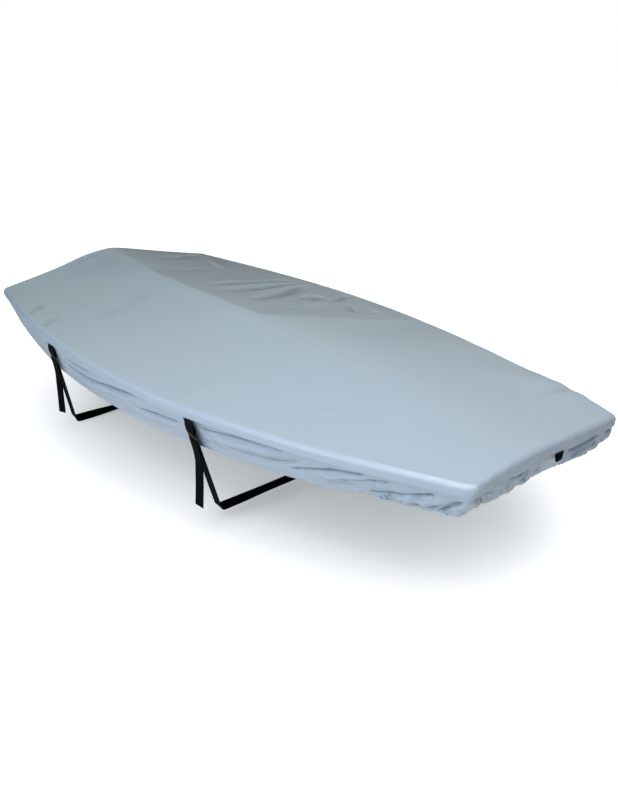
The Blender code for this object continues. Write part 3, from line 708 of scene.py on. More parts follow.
@dataclass(frozen=True)
class CoatedCloth(Finish):
    """Light polyester with a thin coating: a fine plain weave under a soft gloss.

    Shade is painted into its folds: the colour darkens where the cloth lies in a fold. weave is the length of
    a wave of its threads over 2 pi.
    """

    name: str = "coated_cloth_finish"
    colour: Colour = (0.268, 0.322, 0.380)
    pale: Colour = (0.281, 0.337, 0.397)
    # painted shade: the darker colour laid into the cloth's folds
    painted_fold_shade: Colour = (0.178, 0.210, 0.244)
    roughness: Pair = (0.285, 0.325)
    ior: float = 1.6
    mottle: Noise = (3.2, 5.0, 0.6)
    crumple: Noise = (7.0, 1.0, 0.4)
    crumple_relief: Pair = (0.5, 0.0025)
    weave: float = 0.0011
    weave_relief: Pair = (0.6, 0.00005)

    def build(self) -> Material:
        """Make the material."""
        material, nodes, shader = self.start()
        uv, place = nodes.place("UV"), nodes.place()
        warp, weft = (nodes.bands(uv, WAVE_SCALE / self.weave, way) for way in "XY")
        mottle = nodes.noise(place, *self.mottle)
        # how far the point lies in a fold, the mask for the painted shade
        hollow = nodes.add("Attribute", attribute_name=FOLD_SHADE_MASK).outputs["Fac"]
        lumps = nodes.bump(nodes.noise(place, *self.crumple), self.crumple_relief)
        nodes.fill(
            shader,
            {
                # painted shade: the base colour darkens towards the fold colour by how far the point lies in
                # a fold
                "Base Color": nodes.mix(hollow, nodes.mix(mottle, self.colour, self.pale), self.painted_fold_shade),
                "Roughness": nodes.spread(mottle, *self.roughness),
                "IOR": self.ior,
                "Normal": nodes.bump(nodes.combine("ADD", warp, weft), self.weave_relief, Normal=lumps),
            },
        )
        return material


@dataclass(frozen=True)
class Webbing(Finish):
    """Black polyester webbing: ribs across, with rows of plaited thread along.

    rib is the length of a wave of its ribs over 2 pi.
    """

    name: str = "webbing_finish"
    dark: Colour = (0.0008, 0.0009, 0.0010)
    light: Colour = (0.0022, 0.0026, 0.0028)
    roughness: float = 0.78
    shine: float = 0.035
    rib: float = 0.0016
    row_share: float = 1.6
    relief: Pair = (0.8, 0.0003)
    fuzz: Noise = (900.0, 3.0, 0.5)

    def build(self) -> Material:
        """Make the material."""
        material, nodes, shader = self.start()
        uv = nodes.place("UV")
        ribs = nodes.bands(uv, WAVE_SCALE / self.rib, "X")
        rows = nodes.bands(uv, WAVE_SCALE / self.rib / self.row_share, "Y")
        weave = nodes.combine("MULTIPLY", ribs, rows)
        share = nodes.combine("MULTIPLY", weave, nodes.noise(uv, *self.fuzz))
        nodes.fill(
            shader,
            {
                "Base Color": nodes.mix(share, self.dark, self.light),
                "Roughness": self.roughness,
                "Specular IOR Level": self.shine,
                "Normal": nodes.bump(weave, self.relief),
            },
        )
        return material


@dataclass(frozen=True)
class MouldedPlastic(Finish):
    """Black moulded nylon with a fine spark-eroded grain."""

    name: str = "buckle_finish"
    colour: Colour = (0.0022, 0.0028, 0.0028)
    worn: Colour = (0.0036, 0.0044, 0.0044)
    roughness: Pair = (0.38, 0.58)
    shine: float = 0.12
    wear: Noise = (140.0, 4.0, 0.5)
    grain: Noise = (1800.0, 2.0, 0.5)
    relief: Pair = (0.35, 0.0001)

    def build(self) -> Material:
        """Make the material."""
        material, nodes, shader = self.start()
        place = nodes.place()
        wear = nodes.noise(place, *self.wear)
        nodes.fill(
            shader,
            {
                "Base Color": nodes.mix(wear, self.colour, self.worn),
                "Roughness": nodes.spread(wear, *self.roughness),
                "Specular IOR Level": self.shine,
                "Normal": nodes.bump(nodes.noise(place, *self.grain), self.relief),
            },
        )
        return material


@dataclass(frozen=True)
class Thread(Finish):
    """Twisted sewing thread, with shade painted into the grooves of its twist."""

    name: str = "thread_finish"
    colour: Colour = (0.36, 0.43, 0.48)
    # painted shade for the grooves of the twist
    shaded: Colour = (0.25, 0.31, 0.36)
    roughness: float = 0.55
    twist_scale: float = 260.0
    wander: float = 1.5
    relief: Pair = (0.5, 0.0001)

    def build(self) -> Material:
        """Make the material."""
        material, nodes, shader = self.start()
        twist = nodes.bands(nodes.place(), self.twist_scale, "DIAGONAL", self.wander)
        # painted shade: the colour darkens in the twist's grooves
        tone = nodes.mix(twist, self.shaded, self.colour)
        nodes.fill(
            shader,
            {"Base Color": tone, "Roughness": self.roughness, "Normal": nodes.bump(twist, self.relief)},
        )
        return material


# --- Stitching -----------------------------------------------------------------------------------


@dataclass(frozen=True)
class Stitching:
    """Rows of short stitches, each a small closed bead, joined into one mesh."""

    length: float = 0.0034
    pitch: float = 0.0050
    thickness: float = 0.0008
    sides: int = 6
    rings: int = 4

    def _bead(self) -> tuple[Array, list[tuple[int, ...]]]:
        """One stitch along Z at its size, and its faces."""
        deselect_all()
        bpy.ops.mesh.primitive_uv_sphere_add(segments=self.sides, ring_count=self.rings, radius=0.5)
        bead = bpy.context.object
        corners = np.array([vertex.co[:] for vertex in bead.data.vertices])
        corners *= np.array([self.thickness, self.thickness, self.length])
        faces = [tuple(face.vertices) for face in bead.data.polygons]
        bpy.data.objects.remove(bead, do_unlink=True)
        return corners, faces

    def spaced(self, line: Array, outward: Array) -> tuple[Array, Array, Array]:
        """Middles, directions and outward directions of stitches along a line."""
        steps = np.linalg.norm(np.diff(line, axis=0), axis=1)
        lengths = np.concatenate([[0.0], np.cumsum(steps)])
        count = max(1, int((lengths[-1] - self.length) / self.pitch))
        margin = (lengths[-1] - (count - 1) * self.pitch) / 2
        at = margin + self.pitch * np.arange(count)

        def read(values: Array, where: Array) -> Array:
            """Read rows of values at distances along the line."""
            return np.stack([np.interp(where, lengths, values[:, axis]) for axis in range(3)], axis=-1)

        middle = read(line, at)
        run = read(line, at + self.length / 2) - read(line, at - self.length / 2)
        run /= np.linalg.norm(run, axis=1)[:, None]
        out = read(outward, at)
        out -= run * np.sum(out * run, axis=1)[:, None]
        return middle, run, out / np.linalg.norm(out, axis=1)[:, None]

    def sew(self, name: str, rows: Sequence[tuple[Array, Array]]) -> Piece:
        """Join the stitches of several rows.

        Args:
            name: Name of the piece.
            rows: For each row, its line on the cloth and the outward direction along it.

        Returns:
            The stitches as one object.
        """
        corners, faces = self._bead()
        spots = (self.spaced(line, outward) for line, outward in rows)
        middles, runs, outs = (np.concatenate(parts) for parts in zip(*spots))
        count, size = len(middles), len(corners)
        verts = middles[:, None]
        for axis, way in enumerate((np.cross(outs, runs), outs, runs)):
            verts = verts + corners[None, :, axis : axis + 1] * way[:, None]
        verts = verts.reshape(-1, 3)
        joined = [
            tuple(corner + number * size for corner in face) for number in range(count) for face in faces
        ]
        mesh = bpy.data.meshes.new(name)
        mesh.from_pydata(verts.tolist(), [], joined)
        mesh.shade_smooth()
        piece = bpy.data.objects.new(name, mesh)
        bpy.context.scene.collection.objects.link(piece)
        return piece


# --- The top panel -------------------------------------------------------------------------------


@dataclass(frozen=True)
class TopPanel:
    """The tented cloth with its rolled edge, down to the seam.

    round_share says how much faster the edge's ripples run across the boat than along it.
    """

    along: int = 250
    across: int = 118
    flat_rings: int = 3
    roll_rings: int = 7
    wall_rings: int = 4
    swell_rings: int = 6
    flat_swell: float = 0.4
    round_share: float = 1.7
    calm_reach: float = 0.12
    corner_points: int = 14
    rim_points: int = 1600
    thickness: float = 0.0010
    fold_reach: int = 4
    flat_size: Pair = (2.41, 1.25)
    flat_area: float = 2.63
    pucker: Ripple = Ripple(0.024, 0.00045, 3)
    loose: Ripple = Ripple(0.26, 0.00045, 5)
    band: Ripple = Ripple(0.110, 0.0009, 8)
    stitch_lines: tuple[float, ...] = (0.0035, 0.0095)
    stitches: Stitching = Stitching()

    @property
    def rings(self) -> int:
        """Number of rings outside the flat."""
        return self.flat_rings + self.roll_rings + self.wall_rings

    def edge(self, base: Array, heading: Array, ring: Array, lap: Array | float = 0.0) -> Array:
        """Points of the rolled edge.

        Args:
            base: Plan points on the line where the rings begin.
            heading: Outward directions in plan.
            ring: Ring numbers, whole or between.
            lap: Distance up from the seam, for the stitch lines on the wall.

        Returns:
            Points in the part.
        """
        start = base + heading * TOP.roll_start
        top = TOP.height(start[..., 0], start[..., 1])
        drop = TOP.drop(start[..., 0])
        flat = np.clip(ring / self.flat_rings, 0.0, 1.0)
        angle = np.clip((ring - self.flat_rings) / self.roll_rings, 0.0, 1.0) * math.pi / 2
        wall = np.clip((ring - self.flat_rings - self.roll_rings) / self.wall_rings, 0.0, 1.0)
        out = TOP.roll_start * flat + TOP.roll_radius * np.sin(angle)
        inner = base + heading * (TOP.roll_start * flat)[..., None]
        level = np.where(flat < 1.0, TOP.height(inner[..., 0], inner[..., 1]), top)
        down = TOP.roll_radius * (1 - np.cos(angle)) + wall * (drop - TOP.roll_radius)
        down = down - np.where(wall > 0, lap, 0.0)
        place = base + heading * out[..., None]
        round_boat = place[..., 0] + self.round_share * place[..., 1]
        shape = np.clip((ring - 1) / self.swell_rings, 0, 1)
        share = self.flat_swell + (1 - self.flat_swell) * wall
        swell = self.pucker.along(round_boat) * shape * share + self.band.along(round_boat) * np.sin(angle)
        out = out + swell * np.sin(angle) * (1 - wall)
        place = base + heading * out[..., None]
        return in_part(place[..., 0], place[..., 1], level - down + swell * np.cos(angle) * shape)

    def _base(self, number: Array, row: Array) -> tuple[Array, Array, Array]:
        """Plan point, direction and ring of each grid place."""
        past_x = np.maximum.reduce(
            [self.rings - number, number - self.rings - self.along, np.zeros_like(number)]
        )
        past_y = np.maximum.reduce([self.rings - row, row - self.rings - self.across, np.zeros_like(row)])
        x = RAIL.core_end * (2 * np.clip(number - self.rings, 0, self.along) / self.along - 1)
        y = RAIL.core_half(x) * (2 * np.clip(row - self.rings, 0, self.across) / self.across - 1)
        ring = np.maximum(past_x, past_y)
        end = np.where(number > self.rings + self.along / 2, 1, -1)
        side = np.where(row > self.rings + self.across / 2, 1, -1)
        safe = np.maximum(ring, 1)
        part = np.where(past_y >= past_x, 0.5 * past_x / safe, 1 - 0.5 * past_y / safe)
        return np.stack([x, y], axis=-1), RAIL.heading(x, side, end, part), ring

    def points(self) -> Array:
        """Points of the whole panel, as (columns, rows, 3)."""
        sizes = (count + 2 * self.rings + 1 for count in (self.along, self.across))
        number, row = np.meshgrid(*map(np.arange, sizes), indexing="ij")
        base, heading, ring = self._base(number, row)
        x, y = base[..., 0], base[..., 1]
        inside = in_part(x, y, TOP.height(x, y) + self.loose.over(x, y) * self._calm(x, y))
        return np.where((ring == 0)[..., None], inside, self.edge(base, heading, ring.astype(float)))

    def _calm(self, x: Array, y: Array) -> Array:
        """How free the cloth is to lie unevenly: nought beside the rail."""
        to_side = RAIL.core_half(x) - np.abs(y)
        return ease(np.minimum(to_side, RAIL.core_end - np.abs(x)) / self.calm_reach)

    def rim_line(self) -> tuple[Array, Array]:
        """Plan points and outward directions all round the boat, starting at the stern."""
        half_bow, half_stern = RAIL.core_half(RAIL.core_end), RAIL.core_half(-RAIL.core_end)
        runs = []
        for side in (-1, 1):
            x = np.linspace(-RAIL.core_end, RAIL.core_end, self.rim_points // 3)
            line = np.stack([x, side * RAIL.core_half(x)], axis=-1), RAIL.heading(x, side, 1, 0.0)
            runs.append(line if side < 0 else tuple(values[::-1] for values in line))
        corner = np.linspace(0.0, 1.0, self.corner_points)
        ends = []
        for end, half, sides in ((1, half_bow, (-1, 1)), (-1, half_stern, (1, -1))):
            first = np.full(self.corner_points, end * RAIL.core_end)
            y = np.linspace(sides[0] * half, sides[1] * half, self.rim_points // 6)
            rims = [
                (
                    np.column_stack([first, np.full(len(first), side * half)]),
                    RAIL.heading(first, side, end, turn),
                )
                for side, turn in zip(sides, (corner, 1 - corner))
            ]
            across = (
                np.column_stack([np.full(len(y), end * RAIL.core_end), y]),
                np.tile([float(end), 0.0], (len(y), 1)),
            )
            ends.append(tuple(np.concatenate(values) for values in zip(rims[0], across, rims[1])))
        order = [runs[0], ends[0], runs[1], ends[1]]
        return np.concatenate([part[0] for part in order]), np.concatenate([part[1] for part in order])

    def build(self, cloth: Material, thread: Material) -> None:
        """Make the panel and its two rows of stitches."""
        points = self.points()
        piece = cloth_panel("top_cloth", points, points[..., :2].copy(), UP, self.fold_reach, self.thickness)
        finish_piece(piece, cloth, "coated_cloth", "top_panel")
        base, heading = self.rim_line()
        seam = np.full(len(base), float(self.rings))
        outward = np.column_stack([heading, np.zeros(len(base))])
        rows = [(self.edge(base, heading, seam, lap), outward) for lap in self.stitch_lines]
        stitches = self.stitches.sew("seam_stitches", rows)
        finish_piece(stitches, thread, "coated_cloth")


# --- The skirt -----------------------------------------------------------------------------------


@dataclass(frozen=True)
class SkirtPanel:
    """One panel of the skirt, from inside the top's seam down to its turned hem.

    Elastic draws the hem in between the places of gather, and webbing holds the cloth flat at the
    places of calm_at. casing_relief is the hem's rise, its nip at the stitches and the nip's reach.
    """

    side: Side
    hem: Table
    creases: tuple[Crease, ...]
    flat_size: Pair
    flat_area: float
    steps: int
    gather: Pair = (2.0, 3.0)  # off the panel: no elastic
    calm_at: tuple[float, ...] = ()
    corner_steps: int = 8
    rows: int = 44
    hem_turn: tuple[float, ...] = (0.25, 0.5, 0.75)
    hem_rows: int = 8
    line_ends: int = 6
    thickness: float = 0.0009
    fold_reach: int = 4
    lap: float = 0.012
    side_lean: float = 0.33
    bow_lean: float = 0.54
    stern_lean: float = 0.12
    lean_from: float = 0.020
    free_corner: float = 0.8
    free_from: Pair = (0.90, 0.06)
    free_reach: float = 0.22
    casing: float = 0.014
    casing_relief: tuple[float, float, float] = (0.0010, 0.0006, 0.16)
    hem_fold: float = 0.0011
    seam_fade: float = 0.012
    calm_half: float = 0.031
    calm_fade: float = 0.030
    gather_fade: float = 0.06
    gather_slants: Pair = (0.25, -0.3)
    corner_gather: float = 0.4
    limp_share: float = 1.6
    wide_gather: Ripple = Ripple(0.050, 0.0032, 21)
    fine_gather: Ripple = Ripple(0.022, 0.0027, 34, pinched=True)
    hem_wave: Ripple = Ripple(0.034, 0.0016, 13)
    limp: Ripple = Ripple(0.060, 0.0006, 55)
    stitches: Stitching = Stitching()

    @property
    def name(self) -> str:
        """Name of the panel's CAD node."""
        return f"skirt_{self.side.name.lower()}"

    def base(self, part: Array, depth: Array) -> Array:
        """Plan points inside the skirt at places along the panel (-1 to 1) and depths."""
        end, side = self.side.value
        rim_x = RAIL.core_end * (part if side else end * np.ones(np.shape(part)))
        rim_y = RAIL.core_half(rim_x) * (side or part)
        free_x, free_y = self.free_from
        freed = ease((rim_x - free_x) / self.free_reach) * ease((rim_y - free_y) / self.free_reach)
        below = np.maximum(depth - self.lean_from, 0.0) * (1 - self.free_corner * freed)
        bow = RAIL.core_end - self.bow_lean * below
        stern = -RAIL.core_end + self.stern_lean * below
        if side:
            x = stern + (bow - stern) * (part + 1) / 2
        else:
            x = bow if end > 0 else stern
        return np.stack([x, rim_y - self.side_lean * below * (side or part)], axis=-1)

    def heading(self, part: Array, turn: Array) -> Array:
        """Outward directions; turn is 0 along the panel and 1 at its corner seams."""
        end, side = self.side.value
        ahead = np.where(part > 0, 1, -1)
        if self.side.lengthwise:
            return RAIL.heading(RAIL.core_end * part, side, ahead, 0.5 * turn)
        return RAIL.heading(end * RAIL.core_end * np.ones(np.shape(part)), ahead, end, 1 - 0.5 * turn)

    def _gathered(self, along: Array) -> Array:
        """Share of the elastic's pull at places along the panel."""
        start, end = self.gather
        return ease((along - start) / self.gather_fade) * ease((end - along) / self.gather_fade)

    def relief(self, along: Array, depth: Array, seam: Array, hem: Array, turn: Array) -> Array:
        """How far the cloth stands out of its plain surface.

        Args:
            along: Places along the boat or across it, in metres.
            depth: Depths below the rail.
            seam: Depth of the seam at those places.
            hem: Depth of the hem at those places.
            turn: 0 along the panel and 1 at its corner seams.

        Returns:
            The creases, the gathers and the casing of the hem, which all die away at the seam.
        """
        fade = ease((depth - seam) / self.seam_fade)
        for middle in self.calm_at:
            fade = fade * ease((np.abs(along - middle) - self.calm_half) / self.calm_fade)
        inside = self._gathered(along)
        down = np.clip((depth - seam) / (hem - seam), 0.0, 1.0)
        wide_slant, fine_slant = self.gather_slants
        at_corners = 1 - (1 - self.corner_gather) * turn
        total = (
            creased(along, depth, self.creases) * (1 - turn)
            + self.limp.over(along, depth * self.limp_share)
        )
        total = total + inside * down * self.wide_gather.along(along + wide_slant * depth) * at_corners
        total = total + inside * down**2 * self.fine_gather.along(along + fine_slant * depth)
        up = np.clip((hem - depth) / self.casing, 0.0, 1.0)
        rise, nip, reach = self.casing_relief
        total = (
            total + rise * np.sin(np.pi * up) ** 2
            - nip * np.exp(-(((up - 1) / reach) ** 2)) * (depth < hem)
        )
        return fade * total

    def surface(
        self, part: Array, turn: Array, level: Array, inner: Array | float = 0.0, up: Array | float = 0.0
    ) -> Array:
        """Points of the cloth.

        Args:
            part: Places along the panel, from -1 to 1.
            turn: 0 along the panel and 1 at its corner seams.
            level: -1 at the lapped top edge, 0 at the seam and 1 at the hem.
            inner: How far round the turned hem the point is: 0 outside, 1 on the inner layer.
            up: Distance above that level.

        Returns:
            Points in the part.
        """
        rim = self.base(part, np.zeros(np.shape(part)))
        heading = self.heading(part, turn)
        start = rim + heading * TOP.roll_start
        rail = RAIL.height(start[..., 0])
        seam = rail - TOP.height(start[..., 0], start[..., 1]) + TOP.drop(start[..., 0])
        axis = 0 if self.side.lengthwise else 1
        place = (rim + heading * RAIL.edge_width)[..., axis]
        hem = read_table(self.hem, place) + self._gathered(place) * self.hem_wave.along(place) * (1 - turn)
        depth = np.where(level < 0, seam + self.lap * level, seam + (hem - seam) * level) - up
        base = self.base(part, depth)
        along = (base + heading * RAIL.edge_width)[..., axis]
        out = RAIL.edge_width - TOP.cloth - SEAM_GAP + self.relief(along, depth, seam, hem, turn)
        round_hem = np.clip(inner, 0.0, 1.0) * math.pi
        out = out - self.hem_fold * (1 - np.cos(round_hem))
        depth = depth + self.hem_fold * np.sin(round_hem)
        spot = base + heading * out[..., None]
        return in_part(spot[..., 0], spot[..., 1], rail - depth)

    def columns(self) -> tuple[Array, Array]:
        """Place along the panel and turn at the corner, for each column."""
        number = np.arange(self.steps + 2 * self.corner_steps + 1)
        inner = np.clip(number - self.corner_steps, 0, self.steps)
        past = np.maximum.reduce(
            [self.corner_steps - number, number - self.corner_steps - self.steps, 0 * number]
        )
        return 2 * inner / self.steps - 1, past / self.corner_steps

    def points(self) -> Array:
        """Points of the whole panel, as (columns, rows, 3)."""
        turned = len(self.hem_turn)
        level = np.concatenate([[-1.0], np.linspace(0.0, 1.0, self.rows), np.ones(turned + self.hem_rows)])
        inner = np.concatenate([np.zeros(self.rows + 1), self.hem_turn, np.ones(self.hem_rows)])
        up = np.concatenate([np.zeros(self.rows + 1 + turned), np.linspace(0.0, self.casing, self.hem_rows)])
        part, turn = (np.tile(values[:, None], (1, len(level))) for values in self.columns())
        level, inner, up = (np.tile(values, (len(part), 1)) for values in (level, inner, up))
        grid = self.surface(part, turn, level, inner, up)
        for number, beside in ((0, 1), (-1, -2)):
            gap = grid[beside] - grid[number]
            grid[number] += gap / np.linalg.norm(gap, axis=1)[:, None] * SEAM_GAP
        return grid

    def stitch_line(self) -> tuple[Array, Array]:
        """Points of the hem's stitches, from corner seam to corner seam, and their outward directions."""
        fan = np.linspace(1.0, 0.0, self.line_ends)
        part = np.concatenate(
            [np.full(len(fan), -1.0), np.linspace(-1, 1, self.steps * 2), np.full(len(fan), 1.0)]
        )
        turn = np.concatenate([fan, np.zeros(self.steps * 2), fan[::-1]])
        points = self.surface(part, turn, np.ones(len(part)), up=self.casing)
        return points, np.column_stack([self.heading(part, turn), np.zeros(len(part))])

    def build(self, cloth: Material, thread: Material) -> None:
        """Make the panel with its hem and the hem's stitches."""
        points, outward = self.points(), self.side.outward
        flat = flat_places(points)
        piece = cloth_panel(f"{self.name}_cloth", points, flat, outward, self.fold_reach, self.thickness)
        finish_piece(piece, cloth, "coated_cloth", self.name)
        stitches = self.stitches.sew(f"{self.name}_hem_stitches", [self.stitch_line()])
        finish_piece(stitches, thread, "coated_cloth")


@dataclass(frozen=True)
class Skirt:
    """The four panels under the seam."""

    side_hem: Table = (
        (-1.17, 0.146), (-0.85, 0.153), (-0.65, 0.156), (-0.30, 0.150), (0.00, 0.147), (0.20, 0.142),
        (0.40, 0.139), (0.60, 0.137), (0.76, 0.133), (0.85, 0.124), (0.93, 0.107), (1.02, 0.104),
        (1.12, 0.100), (1.17, 0.095),
    )
    port_end: Table = ((1.10, 0.080), (1.17, 0.050))
    bow_hem: Table = (
        (-0.310, 0.094), (-0.285, 0.068), (-0.250, 0.070), (-0.190, 0.084), (-0.120, 0.085), (-0.060, 0.079),
        (0.020, 0.078), (0.100, 0.087), (0.150, 0.077), (0.190, 0.078), (0.250, 0.064), (0.310, 0.050),
    )
    stern_hem: Table = ((-0.50, 0.146), (0.00, 0.140), (0.50, 0.146))
    starboard_creases: tuple[Crease, ...] = (
        Crease(
            -0.0114, 0.0072, ((-0.46, 0.084), (-0.30, 0.082), (-0.18, 0.076), (0.02, 0.048), (0.17, 0.030)),
            0.5, 0.12, 1.2,
        ),
        Crease(0.0072, 0.017, ((-0.42, 0.060), (-0.28, 0.056), (-0.08, 0.046))),
        Crease(-0.0043, 0.007, ((-0.40, 0.050), (-0.26, 0.042), (-0.12, 0.033)), 0.5, 0.2, 1.3),
        Crease(0.0072, 0.020, ((-0.36, 0.118), (-0.16, 0.104), (0.10, 0.060))),
        Crease(-0.0042, 0.0072, ((-0.24, 0.120), (-0.10, 0.098), (0.04, 0.082)), 0.6, 0.3, 1.5),
        Crease(-0.0092, 0.0072, ((0.08, 0.090), (0.20, 0.078), (0.32, 0.071)), 0.5, 0.2, 1.2),
        Crease(0.0043, 0.013, ((0.02, 0.110), (0.16, 0.102), (0.28, 0.094))),
        Crease(-0.0099, 0.0072, ((0.37, 0.065), (0.49, 0.048), (0.58, 0.040), (0.71, 0.032)), 0.5, 0.12, 1.2),
        Crease(0.0080, 0.017, ((0.42, 0.092), (0.54, 0.072), (0.68, 0.058))),
        Crease(-0.0042, 0.0065, ((0.45, 0.086), (0.52, 0.096), (0.58, 0.093)), 0.6, 0.3, 1.4),
        Crease(-0.0079, 0.0101, ((0.52, 0.098), (0.62, 0.090), (0.70, 0.072), (0.75, 0.046)), 0.6, 0.2, 1.5),
        Crease(-0.0107, 0.0065, ((0.68, 0.100), (0.75, 0.076), (0.83, 0.050), (0.93, 0.032)), 0.5, 0.12, 1.2),
        Crease(0.0080, 0.013, ((0.78, 0.092), (0.86, 0.064), (0.94, 0.046))),
        Crease(-0.0099, 0.0065, ((0.84, 0.080), (0.91, 0.054), (0.99, 0.032)), 0.5, 0.14, 1.2),
        Crease(-0.0107, 0.0065, ((0.91, 0.092), (1.00, 0.069), (1.04, 0.056), (1.10, 0.030)), 0.5, 0.12, 1.2),
        Crease(0.0087, 0.012, ((0.98, 0.092), (1.06, 0.074), (1.12, 0.046))),
        Crease(-0.0081, 0.006, ((1.05, 0.094), (1.11, 0.066), (1.145, 0.036)), 0.5, 0.14, 1.2),
        Crease(-0.0097, 0.006, ((1.085, 0.092), (1.125, 0.062), (1.155, 0.032)), 0.5, 0.14, 1.2),
        Crease(-0.0043, 0.006, ((0.80, 0.104), (0.86, 0.088), (0.90, 0.082)), 0.6, 0.3, 1.4),
        Crease(-0.0048, 0.005, ((0.955, 0.100), (0.968, 0.084)), 0.7, 0.3, 1.3),
        Crease(-0.0055, 0.005, ((0.995, 0.100), (1.004, 0.078)), 0.7, 0.3, 1.3),
        Crease(-0.0048, 0.005, ((1.030, 0.100), (1.036, 0.086)), 0.7, 0.3, 1.3),
    )
    port_creases: tuple[Crease, ...] = (
        Crease(-0.0090, 0.018, ((-0.95, 0.060), (-0.60, 0.080), (-0.25, 0.060)), 0.5),
        Crease(0.0072, 0.022, ((-0.20, 0.095), (0.10, 0.080), (0.30, 0.060))),
        Crease(-0.0097, 0.016, ((0.42, 0.100), (0.62, 0.075), (0.84, 0.050)), 0.5),
        Crease(0.0080, 0.016, ((0.76, 0.092), (0.92, 0.070), (1.08, 0.048))),
        Crease(-0.0097, 0.014, ((0.90, 0.095), (1.04, 0.072), (1.15, 0.045)), 0.5),
    )
    bow_creases: tuple[Crease, ...] = (
        Crease(-0.0090, 0.008, ((-0.30, 0.022), (-0.25, 0.024), (-0.20, 0.034)), 0.6, 0.2, 1.2),
        Crease(0.0080, 0.012, ((-0.29, 0.046), (-0.25, 0.050))),
        Crease(-0.0097, 0.007, ((-0.265, 0.030), (-0.235, 0.050), (-0.22, 0.072)), 0.6, 0.2, 1.2),
        Crease(-0.0065, 0.006, ((-0.235, 0.038), (-0.205, 0.062)), 0.6, 0.3, 1.2),
        Crease(0.0072, 0.012, ((-0.20, 0.052), (-0.14, 0.062))),
        Crease(
            -0.0090, 0.008, ((-0.18, 0.038), (-0.16, 0.020), (-0.12, 0.022), (-0.07, 0.016)), 0.6, 0.2, 1.2
        ),
        Crease(
            -0.0065, 0.007, ((-0.16, 0.048), (-0.12, 0.030), (-0.09, 0.029), (-0.075, 0.018)), 0.6, 0.2, 1.3
        ),
        Crease(-0.0090, 0.007, ((-0.085, 0.018), (-0.070, 0.034), (-0.066, 0.070)), 0.6, 0.2, 1.2),
        Crease(0.0065, 0.012, ((-0.05, 0.034), (-0.02, 0.056))),
        Crease(-0.0081, 0.008, ((-0.045, 0.070), (-0.015, 0.040), (0.0, 0.020)), 0.6, 0.2, 1.2),
        Crease(
            -0.0105, 0.009, ((0.055, 0.020), (0.11, 0.038), (0.15, 0.036), (0.18, 0.026), (0.23, 0.028)),
            0.6, 0.12, 1.2,
        ),
        Crease(0.0094, 0.016, ((0.10, 0.070), (0.16, 0.062), (0.22, 0.050))),
        Crease(-0.0073, 0.007, ((0.11, 0.062), (0.15, 0.056), (0.19, 0.050), (0.235, 0.050)), 0.6, 0.2, 1.3),
        Crease(-0.0065, 0.006, ((0.25, 0.030), (0.285, 0.032), (0.305, 0.038)), 0.6, 0.3, 1.3),
    )
    stern_creases: tuple[Crease, ...] = (
        Crease(-0.0081, 0.026, ((-0.44, 0.020), (-0.26, 0.060), (-0.10, 0.090)), 0.6),
        Crease(0.0065, 0.030, ((0.42, 0.030), (0.24, 0.060), (0.06, 0.080))),
    )
    side_gather: Pair = (0.84, 1.22)
    bow_gather: Pair = (-0.36, 0.36)
    under_straps: tuple[float, ...] = (0.340, -0.485)
    under_bow_tab: tuple[float, ...] = (0.029,)
    side_steps: int = 560
    end_steps: int = 180

    def panels(self) -> list[SkirtPanel]:
        """The panels in the order in which they are sewn on."""
        port_hem = self.side_hem[:-2] + self.port_end
        return [
            SkirtPanel(
                Side.STARBOARD, self.side_hem, self.starboard_creases, flat_size=(2.39, 0.177),
                flat_area=0.377, steps=self.side_steps, gather=self.side_gather, calm_at=self.under_straps,
            ),
            SkirtPanel(
                Side.BOW, self.bow_hem, self.bow_creases, flat_size=(0.64, 0.133), flat_area=0.066,
                steps=self.end_steps, gather=self.bow_gather, calm_at=self.under_bow_tab,
            ),
            SkirtPanel(
                Side.PORT, port_hem, self.port_creases, flat_size=(2.40, 0.174), flat_area=0.370,
                steps=self.side_steps, gather=self.side_gather, calm_at=self.under_straps,
            ),
            SkirtPanel(
                Side.STERN, self.stern_hem, self.stern_creases, flat_size=(0.98, 0.247), flat_area=0.193,
                steps=self.end_steps,
            ),
        ]

    def build(self, cloth: Material, thread: Material) -> None:
        """Make the four panels."""
        for panel in self.panels():
            panel.build(cloth, thread)


# --- Straps, tabs and buckles --------------------------------------------------------------------


@dataclass(frozen=True)
class Hang:
    """The line in which a tab and strap hang: a start, and the ways down, across and out."""

    start: Vector
    down: Vector
    across: Vector
    out: Vector

    @classmethod
    def between(cls, start: Vector, end: Vector, side: int) -> Hang:
        """The line from a point under the seam towards another, out from one side of the boat."""
        down = (end - start).normalized()
        across = (FORWARD - down * FORWARD.dot(down)).normalized()
        out = down.cross(across)
        return cls(start, down, across, out if out.y * side > 0 else -out)

    def at(self, turn: Pair) -> Vector:
        """Point at a distance down the line and a distance off the skirt."""
        return self.start + self.down * turn[0] + self.out * turn[1]


def resampled(route: Sequence[Vector], step: float) -> list[Vector]:
    """Points along a smooth curve through a route, no further apart than a step."""
    lengths = [0.0]
    for before, after in zip(route[:-1], route[1:]):
        lengths.append(lengths[-1] + (after - before).length)
    at: list[float] = []
    for first, last in zip(lengths[:-1], lengths[1:]):
        parts = max(1, math.ceil((last - first) / step))
        at += [first + (last - first) * part / parts for part in range(parts)]
    at.append(lengths[-1])
    rows = [smooth_curve(lengths, [spot[axis] for spot in route], at) for axis in range(3)]
    return [Vector(spot) for spot in zip(*rows)]


